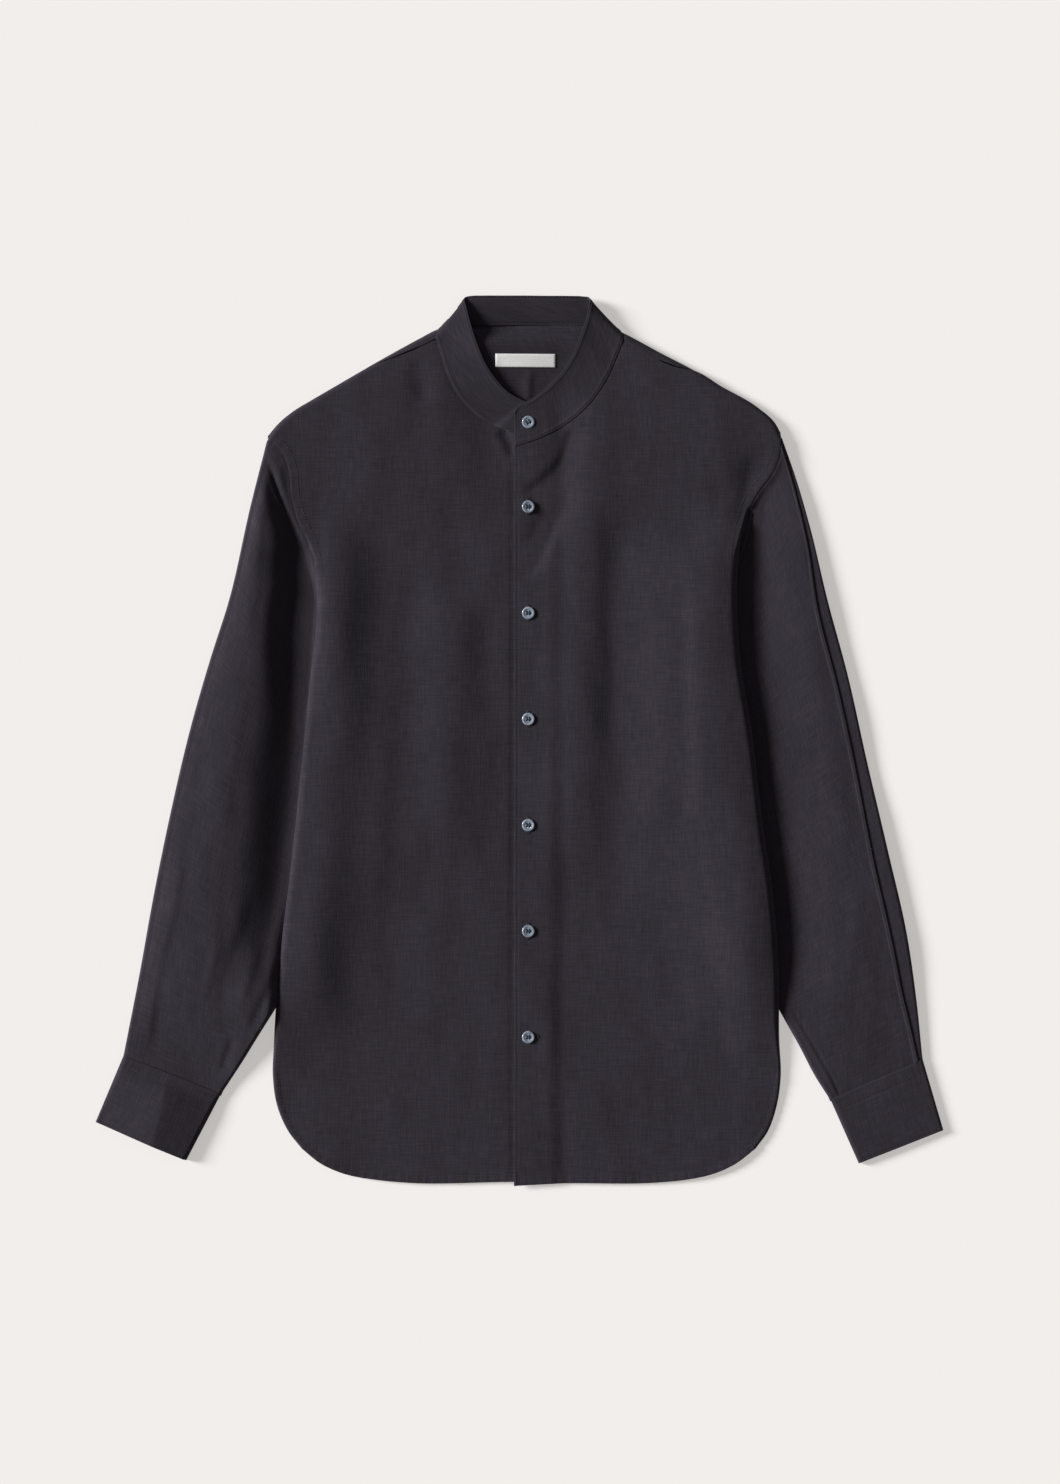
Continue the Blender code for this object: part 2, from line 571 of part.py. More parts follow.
def seat_on_band():
    """The same for the top button, on the straight part of the band's left end."""
    low, high = BAND[2], BAND[3]
    share = (BUTTON_TOP_Y - low.seam_y) / (low.top_y - low.seam_y)
    along = (high.seam_z - low.seam_z) / (high.seam_x - low.seam_x)
    height = low.seam_z + (low.top_z - low.seam_z) * share
    return height, (along, (low.top_z - low.seam_z) / (low.top_y - low.seam_y))


def button_object(name, centre, slope, collection, cutters, material):
    """A turned shirt button with a rim, four holes and a slightly domed back."""
    r, t = BUTTON_RADIUS, BUTTON_THICK
    profile = ((0.0, 0.0), (r * 0.72, 0.0), (r * 0.95, t * 0.35), (r, t * 0.62), (r * 0.95, t * 0.92),
               (r * 0.84, t), (r * 0.66, t * 0.80), (0.0, t * 0.72))
    mesh = bpy.data.meshes.new(name)
    verts = [(x * MM, 0.0, z * MM) for x, z in profile]
    mesh.from_pydata(verts, [(k, k + 1) for k in range(len(verts) - 1)], [])
    obj = add_object(name, mesh, collection, material)
    turn = obj.modifiers.new("turn", "SCREW")
    turn.steps = turn.render_steps = 20
    turn.use_merge_vertices = True
    turn.merge_threshold = 0.00001
    turn.use_normal_calculate = True
    for k in range(4):
        angle = pi / 4 + k * pi / 2
        bpy.ops.mesh.primitive_cylinder_add(vertices=8, radius=HOLE_RADIUS * MM, depth=4 * t * MM)
        cutter = bpy.context.object
        cutter.name = f"{name}_hole_{k + 1}"
        cutter.location = (HOLE_OFFSET * np.cos(angle) * MM, HOLE_OFFSET * np.sin(angle) * MM, 0.0)
        cutter.parent = obj
        move_to(cutter, cutters)
        cutter.hide_render = True
        cutter.display_type = "WIRE"
        cut = obj.modifiers.new(f"hole {k + 1}", "BOOLEAN")
        cut.operation = "DIFFERENCE"
        cut.object = cutter
    obj.location = [value * MM for value in centre]
    obj.rotation_euler = (np.arctan(slope[1]), -np.arctan(slope[0]), 0.0)
    return obj


def main():
    for obj in list(bpy.data.objects):
        bpy.data.objects.remove(obj)
    shirt = bpy.data.collections.new("linen_shirt")
    cutters = bpy.data.collections.new("cutters")
    bpy.context.scene.collection.children.link(shirt)
    bpy.context.scene.collection.children.link(cutters)
    bpy.context.view_layer.active_layer_collection = bpy.context.view_layer.layer_collection

    linen = principled("navy linen", NAVY_LINEN, 0.85)
    cloth_piece("back", back_surface(), shirt, linen, flip=True)
    cloth_piece("yoke", yoke_surface(), shirt, linen)
    cloth_piece("right_front", front_surface(RIGHT), shirt, linen, flip=True)
    cloth_piece("left_front", front_surface(LEFT), shirt, linen)
    cloth_piece("left_sleeve", sleeve_surface(LEFT, LEFT_SLEEVE), shirt, linen, ring=True)
    cloth_piece("right_sleeve", sleeve_surface(RIGHT, RIGHT_SLEEVE), shirt, linen, ring=True, flip=True)
    cloth_piece("left_cuff", cuff_surface(LEFT), shirt, linen, wall=CUFF_WALL, ring=True)
    cloth_piece("right_cuff", cuff_surface(RIGHT), shirt, linen, wall=CUFF_WALL, ring=True, flip=True)
    band = principled("navy band", NAVY_BAND, 0.85)
    cloth_piece("collar_band", band_surface(), shirt, band, wall=BAND_WALL, flip=True)

    bpy.ops.mesh.primitive_cube_add(size=1.0)
    label = bpy.context.object
    label.name = "label"
    label.scale = (LABEL_SIZE[0] * MM, LABEL_SIZE[1] * MM, LABEL_THICK * MM)
    label.location = (LABEL_AT[0] * MM, LABEL_AT[1] * MM, (CLOTH + SEAM_GAP + LABEL_THICK / 2) * MM)
    label.data.materials.append(principled("bare label", LABEL_WHITE, 0.6))
    move_to(label, shirt)

    blue = principled("blue-grey button", BUTTON_BLUE, 0.25)
    for number, (x, y) in enumerate(button_places(), 1):
        height, slope = seat_on_band() if number == 1 else seat_on_front(x, y)
        button_object(f"button_{number}", (x, y, height + SEAM_GAP), slope, shirt, cutters, blue)


main()
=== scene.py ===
"""The looks of a long-sleeved linen shirt with a band collar, buttoned and laid flat on its back.

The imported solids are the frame. Each cut-and-sewn piece is a thin shell on the form of its solid, with the
finer folds, hems, seams, stitches, buttonholes and buttons, and the linen itself.
Sizes are in millimetres and the meshes in metres. X runs toward the wearer's left, Y toward the collar and
Z up from the surface that the shirt lies on.
"""

import logging
from dataclasses import dataclass, field
from enum import Enum
from math import pi, radians, sqrt

import bpy
import numpy as np
import numpy.typing as npt
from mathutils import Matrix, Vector


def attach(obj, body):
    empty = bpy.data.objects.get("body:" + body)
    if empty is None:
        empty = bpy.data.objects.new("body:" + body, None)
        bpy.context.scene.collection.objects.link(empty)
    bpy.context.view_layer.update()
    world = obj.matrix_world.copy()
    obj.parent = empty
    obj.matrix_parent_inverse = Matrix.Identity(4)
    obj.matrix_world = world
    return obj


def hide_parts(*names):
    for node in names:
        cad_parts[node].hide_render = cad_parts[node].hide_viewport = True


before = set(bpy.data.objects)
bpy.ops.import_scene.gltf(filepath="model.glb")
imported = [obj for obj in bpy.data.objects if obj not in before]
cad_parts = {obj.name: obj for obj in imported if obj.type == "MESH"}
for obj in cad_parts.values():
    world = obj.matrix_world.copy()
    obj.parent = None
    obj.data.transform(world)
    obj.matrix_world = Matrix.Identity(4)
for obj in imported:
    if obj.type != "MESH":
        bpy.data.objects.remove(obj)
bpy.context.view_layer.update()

log = logging.getLogger("linen_shirt")

Array = npt.NDArray[np.float64]
Points = tuple[tuple[float, float], ...]
Colour = tuple[float, float, float, float]
Socket = bpy.types.NodeSocket
Material = bpy.types.Material
Object = bpy.types.Object
Rows = list[tuple[Array, Array]]

MM = 0.001
BELL_ENDS = 2.6

# The cloth's walls, the edges and seams, and where the stitch rows and turned layers lie in from them
CLOTH = 0.8
BAND_WALL = 0.9
CUFF_WALL = 1.1
HEM_Y = -400.0
YOKE_SEAM_Y = 255.0
CENTRE_TOP_Y = 267.0
PLACKET_EDGE = -5.0
UNDER_EDGE = 21.0
HEM_WIDTH = 6.0
HEM_STITCH_IN = HEM_WIDTH - 0.9
EDGE_STITCH_IN = 3.0
ARMHOLE_STITCH_IN = 7.4
HEM_STEP = 0.4
ALLOWANCE = 8.0
ALLOWANCE_RUN = 2.4
ALLOWANCE_STEP = 0.08

# Heights of the outer faces, the radii of the rolled edges, and the fronts' rise, overlap and side crest
UNDER_BODY = 3.0
VALLEY_FLOOR = 1.8
BACK_OVER_SLEEVE = 3.7
FRONT_LOW = 3.0
FRONT_OVER_SLEEVE = 3.9
SHOULDER_RISE = 5.6
SHOULDER_FROM_Y = 150.0
SHOULDER_RUN = 130.0
OVERLAP_RISE = 2.0
OVERLAP_RUN = 16.0
OVERLAP_BEYOND = 4.0
SIDE_EDGE_LOW = 0.9
SIDE_EDGE_LIFT = 3.7
SHOULDER_ROLL = 4.5
SIDE_ROLL = 6.0
SIDE_ROLL_ON_FLOOR = 2.4
SIDE_ROLL_FADE = 26.0
SLEEVE_ROLL = 4.0
STRIP_ROLL = 0.9
CENTRE_SHARE = 0.25
CENTRE_HALF_WIDTH = 20.0
CENTRE_RUN = 60.0
SIDE_CREST_IN = 28.0
FRONT_RAMP = 80.0
CREST_SHARE_AT_HEM = 0.1
CREST_FULL_FROM_Y = -310.0
CREST_RUN = 130.0
CREST_ABOVE_ARM = 75.0
CREST_ARM_RUN = 70.0
LOWEST_FRONT = 2.0

# The body lies on the inner part of each sleeve down to where the sleeve comes out from under it
SLEEVE_LEAVES_Y = -241.0
LIFT_RUN = 28.0
LIFT_AHEAD = 36.0
FRONT_LIFTS_EARLIER = 48.0
OUT_ABOVE_ARM = 0.9
OUT_BELOW_SLEEVE = 0.2

# A sleeve: the share of it that bends to the armhole, where its upper layer is clear of the body, its rise
# from the hollow, its two ends, and the height that it keeps below the front's at their join
ARMHOLE_BLEND = 0.32
CLEAR_BELOW = 5.0
CLEAR_RUN = 40.0
CLEAR_IN = 10.0
FLANK_POWER = 2.5
BY_ARMHOLE = 60.0
BY_CUFF = 0.22
JOIN_BELOW = 0.1
RING_CLOSENESS = 0.06
OUTER_DIP = 0.04
OUTER_DIP_RUN = 3.0

# The part of a sleeve tucked under the body: from just outside the body's edge, up to just above the underarm
TUCKED_FROM = 1.0
TUCKED_RUN = 4.0
TUCKED_ABOVE_ARM = 6.0
TUCKED_FADE = 8.0

# The knife fold: the lip of its pressed edge, and the layer that turns back beneath it, in from the strip
LIP = 0.3
LIP_FADE = 0.1
LIP_RUN = 1.8
FALL_FADE = 0.08
TURN_IN = 3.2
TURN_OUT = 0.8
TURN_THICK = 0.36
EDGE_BULGE = 1.1
EDGE_UNDER = 0.6

# A sleeve's end rings slip under the armhole and into the cuff: their shift (outward, up), and how far
# the upper layer sinks and the lower one lifts at the armhole and at the cuff
SLIP_RUN = 3.0
ARMHOLE_SLIP = (-1.4, 0.7)
CUFF_SLIP = (0.5, -2.2)
SLIP_SINK = (0.6, 0.4)
SLIP_LIFT = (1.2, 0.5)

# The fastening: OVER_BUTTON is the number of the band's stations that reach past the first button
BUTTON_X = 8.0
BUTTON_YS = (286.5, 210.5, 115.0, 19.7, -75.6, -170.9, -266.2)
BUTTON_RADIUS = 5.7
HOLE_AHEAD = (2.5, 0.6)
THREAD_SHANK = 0.1
OVER_BUTTON = 60
FIRST_TURN = 0.5

# The camera looks straight down; its frame is the photograph's, in millimetres
FRAME_HEIGHT = 1335.6
FRAME_CENTRE = (9.45, -0.9)
CAMERA_HEIGHT = 4000.0
CAMERA_SEES_TO = 50000.0
SENSOR = 36.0


class Side(Enum):
    """The wearer's left or right; the value is the sign of X on that side."""

    LEFT = 1
    RIGHT = -1


# ---- curves and height functions


def smoothstep(value: Array) -> Array:
    """0 below 0, 1 above 1 and a smooth S between: 3 t^2 - 2 t^3."""
    t = np.clip(value, 0.0, 1.0)
    return t * t * (3.0 - 2.0 * t)


def bell(value: Array) -> Array:
    """A bell curve, 1 at 0: e to the power of minus the square."""
    return np.exp(-(value**2))


def fading(share: Array, fade_in: float, fade_out: float) -> Array:
    """1 along a length, fading to 0 at both ends over the given shares of it."""
    return smoothstep(share / fade_in) * smoothstep((1.0 - share) / fade_out)


def unit(vectors: Array) -> Array:
    """Vectors along the last axis, each divided by its length."""
    return vectors / np.maximum(np.linalg.norm(vectors, axis=-1, keepdims=True), 1e-9)


def run_along(points: Array) -> Array:
    """The length along a path, from its first point to each."""
    return np.concatenate([[0.0], np.cumsum(np.linalg.norm(np.diff(points, axis=0), axis=1))])


def leftward(line: Array) -> Array:
    """The unit normals of a line in the plane, to the left of its direction."""
    ahead = unit(np.gradient(line, axis=0))
    return np.stack([-ahead[:, 1], ahead[:, 0]], axis=1)


def looked_up(table: Points, at: Array | float) -> Array:
    """The second value of a table at places of its first, straight between rows and held beyond them."""
    places, values = zip(*table, strict=True)
    return np.interp(at, places, values)


def read_along(values: Array, run: Array, at: Array) -> Array:
    """Rows of values that belong to lengths of a run, read at other lengths."""
    return np.stack([np.interp(at, run, column) for column in values.T], axis=1)


def through(points: Points | Array, share: Array, knots: Array | None = None) -> Array:
    """The smooth curve through points, from cubic Hermite spans with slopes taken from the neighbours.

    Args:
        points: The points, as rows of two or more coordinates.
        share: Where to read the curve, from 0 to 1.
        knots: The share at each point; the shares of the chord length if left out.

    Returns:
        The curve's points, in the shape of share with the coordinates as a last axis.
    """
    pts = np.asarray(points, float)
    share = np.asarray(share, float)
    if knots is None:
        knots = run_along(pts)
        knots = knots / knots[-1]
    width = np.diff(knots)[:, None]
    slopes = np.diff(pts, axis=0) / width
    tangents = np.empty_like(pts)
    tangents[0], tangents[-1] = slopes[0], slopes[-1]
    tangents[1:-1] = (width[1:] * slopes[:-1] + width[:-1] * slopes[1:]) / (width[:-1] + width[1:])
    span = np.clip(np.searchsorted(knots, share, side="right") - 1, 0, len(pts) - 2)
    run = (knots[span + 1] - knots[span])[..., None]
    t = (share[..., None] - knots[span][..., None]) / run
    return (
        (2 * t**3 - 3 * t**2 + 1) * pts[span]
        + (t**3 - 2 * t**2 + t) * run * tangents[span]
        + (3 * t**2 - 2 * t**3) * pts[span + 1]
        + (t**3 - t**2) * run * tangents[span + 1]
    )


def length_of(points: Points | Array) -> float:
    """The length of the straight runs between points."""
    return float(np.linalg.norm(np.diff(np.asarray(points, float), axis=0), axis=1).sum())


def joined(*tables: Points) -> Points:
    """Tables end to end, each sharing its first point with the end of the one before.

    Args:
        tables: The tables in turn.

    Returns:
        One table.
    """
    points = list(tables[0])
    for table in tables[1:]:
        points.extend(table[1:])
    return tuple(points)


def flipped(table: Points) -> Points:
    """A table in the other direction."""
    return tuple(reversed(table))


def x_at(points: Points, y: Array | float) -> Array:
    """The outward distance of an edge at height y, held at its end values beyond them."""
    return looked_up(tuple(sorted((py, px) for px, py in points)), y)


def steps(length: float, near_start: tuple[float, ...], near_end: tuple[float, ...], step: float) -> Array:
    """Shares of a length: fine given distances from both ends and even steps between them.

    Args:
        length: The whole length.
        near_start: Distances from the start, beginning with 0.
        near_end: Distances from the end, beginning with 0.
        step: The largest even step between.

    Returns:
        Rising shares from 0 to 1.
    """
    first, last = near_start[-1], length - near_end[-1]
    count = max(2, int(np.ceil((last - first) / step)) + 1)
    middle = np.linspace(first, last, count)[1:-1]
    ends = length - np.asarray(near_end[::-1])
    return np.concatenate([np.asarray(near_start), middle, ends]) / length


def rolled(depth: Array, radius: float | Array) -> Array:
    """Height share of a quarter-round roll at a distance in from its edge: a circle's arc."""
    inside = np.clip(1.0 - depth / radius, 0.0, 1.0)
    return np.sqrt(1.0 - inside**2)


def coons(bottom: Points, top: Points, left: Points, right: Points, u: Array, v: Array) -> Array:
    """The patch between four edge curves: the sum of both ruled surfaces less the bilinear corners.

    Args:
        bottom: The lower edge, left to right.
        top: The upper edge, left to right.
        left: The left edge, upward.
        right: The right edge, upward.
        u: Shares across.
        v: Shares up.

    Returns:
        The patch's points (x, y).
    """
    u3, v3 = u[..., None], v[..., None]
    edges = (1 - v3) * through(bottom, u) + v3 * through(top, u)
    edges = edges + (1 - u3) * through(left, v) + u3 * through(right, v)
    c = [np.asarray(p, float) for p in (bottom[0], bottom[-1], top[0], top[-1])]
    corners = (1 - v3) * ((1 - u3) * c[0] + u3 * c[1]) + v3 * ((1 - u3) * c[2] + u3 * c[3])
    return edges - corners


@dataclass(frozen=True)
class Line:
    """A smooth line in the plane that the shirt lies on, through a few points, for measuring from."""

    points: Points
    samples: int = 120

    def path(self) -> Array:
        """The line as close points."""
        return through(self.points, np.linspace(0.0, 1.0, self.samples + 1))

    def measure(self, x: Array, y: Array) -> tuple[Array, Array, Array]:
        """Measures places against the line, each from its nearest point on the line's short straight runs.

        Args:
            x: Places across.
            y: Places up.

        Returns:
            The distance, the length along the line, and the side: 1 left of its direction and -1 right.
        """
        path = self.path()
        start, run = path[:-1], np.diff(path, axis=0)
        long = np.linalg.norm(run, axis=1)
        dx = x.reshape(-1, 1) - start[:, 0]
        dy = y.reshape(-1, 1) - start[:, 1]
        t = np.clip((dx * run[:, 0] + dy * run[:, 1]) / long**2, 0.0, 1.0)
        square = (dx - t * run[:, 0]) ** 2 + (dy - t * run[:, 1]) ** 2
        near = np.argmin(square, axis=1)
        row = np.arange(len(near))
        distance = np.sqrt(square[row, near])
        along = run_along(path)[near] + t[row, near] * long[near]
        side = np.where(run[near, 0] * dy[row, near] - run[near, 1] * dx[row, near] >= 0.0, 1.0, -1.0)
        return distance.reshape(x.shape), along.reshape(x.shape), side.reshape(x.shape)


@dataclass(frozen=True)
class Fold:
    """A soft ridge along a bent line, or a trough where its height is negative.

    Across the line the height falls as a bell curve, with its own half width on either side of the line's
    direction. Along it the height fades in and out over the given shares of its length.
    """

    points: Points
    height: float
    left: float
    right: float
    fade_in: float = 0.25
    fade_out: float = 0.25

    def at(self, x: Array, y: Array) -> Array:
        """The height that the fold adds at places (x, y).

        Args:
            x: Places across.
            y: Places up.

        Returns:
            The heights.
        """
        line = Line(self.points, 20)
        path = line.path()
        margin = BELL_ENDS * max(self.left, self.right)
        low, high = path.min(axis=0) - margin, path.max(axis=0) + margin
        near = (x > low[0]) & (x < high[0]) & (y > low[1]) & (y < high[1])
        added = np.zeros_like(x)
        if near.any():
            distance, along, side = line.measure(x[near], y[near])
            share = along / length_of(path)
            width = np.where(side > 0, self.left, self.right)
            added[near] = self.height * fading(share, self.fade_in, self.fade_out) * bell(distance / width)
        return added


def folded(folds: tuple[Fold, ...], x: Array, y: Array) -> Array:
    """The sum of the folds' heights at places (x, y).

    Args:
        folds: The folds.
        x: Places across.
        y: Places up.

    Returns:
        The summed heights.
    """
    total = np.zeros_like(x)
    for fold in folds:
        total = total + fold.at(x, y)
    return total


@dataclass(frozen=True)
class Groove:
    """The shallow channel that a seam or a stitch row presses into the cloth, at a distance from an edge."""

    depth: float
    width: float
    place: float = 0.0

    def at(self, distance: Array | float) -> Array:
        """The height that it takes away at distances from the edge: a bell curve about its place."""
        return -self.depth * bell((distance - self.place) / self.width)


@dataclass(frozen=True)
class Pucker:
    """The small waves that sewing draws into the cloth beside a seam."""

    height: float
    reach: float
    wave: float
    wander: float
    wander_run: float

    def at(self, distance: Array, along: Array) -> Array:
        """Their height: a sine along the seam with a wandering phase, dying away from it as a bell curve."""
        phase = 2 * pi * along / self.wave + self.wander * np.sin(along / self.wander_run)
        return self.height * bell(distance / self.reach) * np.sin(phase)


HEM_PUCKER = Pucker(height=0.22, reach=9.0, wave=8.5, wander=1.6, wander_run=19.0)
ARMHOLE_PUCKER = Pucker(height=0.20, reach=9.0, wave=10.5, wander=2.6, wander_run=17.0)
CENTRE_GROOVE = Groove(0.2, 0.7, EDGE_STITCH_IN)
CENTRE_ROUND = Groove(0.12, 0.6)
HEM_GROOVE = Groove(0.3, 0.7, HEM_STITCH_IN)
ARMHOLE_GROOVE = Groove(0.3, 1.0)
NECK_GROOVE = Groove(0.20, 0.7, 0.6)
CUFF_END = Groove(0.35, 0.7)
LABEL_ROUND = Groove(0.3, 0.9)


@dataclass(frozen=True)
class Crumple:
    """The slight unevenness of washed linen: a sum of sine waves with seeded directions and phases."""

    seed: int
    height: float
    shortest: float
    longest: float
    stretch: float = 2.2
    waves: int = 22

    def at(self, x: Array, y: Array) -> Array:
        """The height at places (x, y); waves are longer along the cloth's length by the stretch.

        Args:
            x: Places across.
            y: Places up.

        Returns:
            The heights.
        """
        rng = np.random.default_rng(self.seed)
        angle = rng.uniform(0.0, 2 * pi, self.waves)
        phase = rng.uniform(0.0, 2 * pi, self.waves)
        length = np.exp(rng.uniform(np.log(self.shortest), np.log(self.longest), self.waves))
        weight = length / np.sqrt((length**2).sum())
        total = np.zeros_like(x)
        for k in range(self.waves):
            along = np.cos(angle[k]) * x + np.sin(angle[k]) * y / self.stretch
            total = total + weight[k] * np.sin(2 * pi * along / length[k] + phase[k])
        return self.height * total


# ---- meshes


def numbered(rows: int, columns: int, ring: bool = False) -> Array:
    """The numbers of a grid's points, row by row; on a ring the first column comes again after the last."""
    number = np.arange(rows * columns).reshape(rows, columns)
    return np.concatenate([number, number[:, :1]], axis=1) if ring else number


def cells(grid: Array) -> Array:
    """The four corners of each cell of a grid, in turn, on a new third axis."""
    return np.stack([grid[:-1, :-1], grid[:-1, 1:], grid[1:, 1:], grid[1:, :-1]], axis=2)


@dataclass
class Surface:
    """A grid of points in millimetres with the cloth's own flat coordinates.

    Attributes:
        points: (rows, columns, 3).
        cloth: (rows, columns, 2), with one more column on a ring, where the cloth closes on itself.
        ring: Whether the last column joins the first.
    """

    points: Array
    cloth: Array
    ring: bool = False

    def normals(self) -> Array:
        """Unit normals from the cross product of the grid's own directions.

        Returns:
            One for each point.
        """
        points = self.points
        if self.ring:
            wide = np.concatenate([points[:, -1:], points, points[:, :1]], axis=1)
            across = np.gradient(wide, axis=1)[:, 1:-1]
        else:
            across = np.gradient(points, axis=1)
        return unit(np.cross(across, np.gradient(points, axis=0)))

    def place(self, row: Array, column: Array) -> tuple[Array, Array]:
        """Points and normals at fractional rows and columns, blended from the four grid points around.

        Args:
            row: Rows, from 0 to the last.
            column: Columns, from 0 to the last.

        Returns:
            The points and the unit normals.
        """
        rows, columns = self.points.shape[:2]
        r = np.clip(np.floor(row).astype(int), 0, rows - 2)
        c = np.clip(np.floor(column).astype(int), 0, columns - 2)
        fr, fc = (row - r)[:, None], (column - c)[:, None]

        def blend(grid: Array) -> Array:
            """The bilinear blend of a grid at those places."""
            low = grid[r, c] * (1 - fc) + grid[r, c + 1] * fc
            high = grid[r + 1, c] * (1 - fc) + grid[r + 1, c + 1] * fc
            return low * (1 - fr) + high * fr

        return blend(self.points), unit(blend(self.normals()))

    def line_at(self, distance: float, column: int, columns: Array) -> tuple[Array, Array]:
        """A line across the grid at a distance from its first row, or below 0 from its last.

        Args:
            distance: The distance, along the given column.
            column: The column that it is measured on.
            columns: Where the line's points lie.

        Returns:
            The points and the unit normals.
        """
        run = run_along(self.points[:, column])
        from_first = distance if distance >= 0.0 else run[-1] + distance
        row = float(np.interp(from_first, run, np.arange(len(run))))
        return self.place(np.full_like(columns, row), columns)


def chord_cloth(points: Array, ring: bool = False) -> Array:
    """Flat coordinates of a grid: lengths along its rows, and along one column a third of the way in.

    Args:
        points: The grid.
        ring: Whether its last column joins its first.

    Returns:
        The flat coordinates.
    """
    wide = np.concatenate([points, points[:, :1]], axis=1) if ring else points
    across = np.cumsum(np.linalg.norm(np.diff(wide, axis=1), axis=2), axis=1)
    across = np.concatenate([np.zeros((len(points), 1)), across], axis=1)
    up = run_along(points[:, points.shape[1] // 3])
    return np.stack([across, np.broadcast_to(up[:, None], across.shape)], axis=2)


def mesh_of(name: str, points: Array, faces: list[Array], cloth: Array | None = None) -> bpy.types.Mesh:
    """A mesh from points in millimetres.

    Args:
        name: The mesh's name.
        points: (count, 3).
        faces: Arrays of corner numbers, one array for each number of corners.
        cloth: Flat coordinates in millimetres for each corner of each face in turn, or None.

    Returns:
        The smooth-shaded mesh, with the cloth coordinates in metres as its UV map.
    """
    mesh = bpy.data.meshes.new(name)
    corners = np.concatenate([f.reshape(-1) for f in faces]).astype(np.int32)
    sizes = np.concatenate([np.full(len(f), f.shape[1]) for f in faces])
    starts = np.concatenate([[0], np.cumsum(sizes)[:-1]]).astype(np.int32)
    mesh.vertices.add(len(points))
    mesh.vertices.foreach_set("co", (points * MM).astype(np.float32).ravel())
    mesh.loops.add(len(corners))
    mesh.loops.foreach_set("vertex_index", corners)
    mesh.polygons.add(len(starts))
    mesh.polygons.foreach_set("loop_start", starts)
    mesh.update(calc_edges=True)
    if cloth is not None:
        layer = mesh.uv_layers.new(name="cloth")
        layer.data.foreach_set("uv", (cloth * MM).astype(np.float32).ravel())
    mesh.shade_smooth()
    return mesh


def linked(name: str, data: bpy.types.ID) -> Object:
    """An object for a mesh, light or camera, linked to the scene."""
    obj = bpy.data.objects.new(name, data)
    bpy.context.scene.collection.objects.link(obj)
    return obj


def show(name: str, mesh: bpy.types.Mesh, material: Material) -> Object:
    """An object for the mesh, at the origin, dressed and riding on the shirt's one body.

    Args:
        name: The piece's name.
        mesh: Its mesh.
        material: Its finish.

    Returns:
        The object.
    """
    mesh.materials.append(material)
    obj = linked(name, mesh)
    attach(obj, "root")
    log.info("%s: %d faces", name, len(mesh.polygons))
    return obj


def shell(
    name: str, surface: Surface, material: Material, wall: float = CLOTH, flip: bool = False
) -> Object:
    """A cloth piece: the grid's quads given the cloth's wall toward the inside of the garment.

    Args:
        name: The piece's name.
        surface: Its outer face.
        material: Its finish.
        wall: Its thickness.
        flip: Whether the grid's own normals point inward.

    Returns:
        The finished object.
    """
    quads, cloth = cells(numbered(*surface.points.shape[:2], surface.ring)), cells(surface.cloth)
    if flip:
        quads, cloth = quads[..., ::-1], cloth[:, :, ::-1]
    mesh = mesh_of(name, surface.points.reshape(-1, 3), [quads.reshape(-1, 4)], cloth.reshape(-1, 2))
    obj = show(name, mesh, material)
    solid = obj.modifiers.new("cloth wall", "SOLIDIFY")
    solid.thickness = wall * MM
    solid.offset = -1.0
    solid.use_rim = True
    solid.use_quality_normals = True
    return obj


def swept(path: Array, outline: Array, ring: bool = False) -> Surface:
    """A closed outline carried along a path: the path plus the outline in the path's side and up.

    Args:
        path: (count, 3).
        outline: (corners, 2), as distances to the side and up.
        ring: Whether the path closes on itself.

    Returns:
        A surface whose columns go round the outline, as a ring.
    """
    ahead = np.roll(path, -1, axis=0) - np.roll(path, 1, axis=0) if ring else np.gradient(path, axis=0)
    ahead = unit(ahead)
    side = unit(np.cross(ahead, (0.0, 0.0, 1.0)))
    up = np.cross(side, ahead)
    points = path[:, None] + side[:, None] * outline[None, :, :1] + up[:, None] * outline[None, :, 1:]
    if ring:
        points = np.concatenate([points, points[:1]], axis=0)
    return Surface(points, chord_cloth(points, True), True)


# ---- finishes


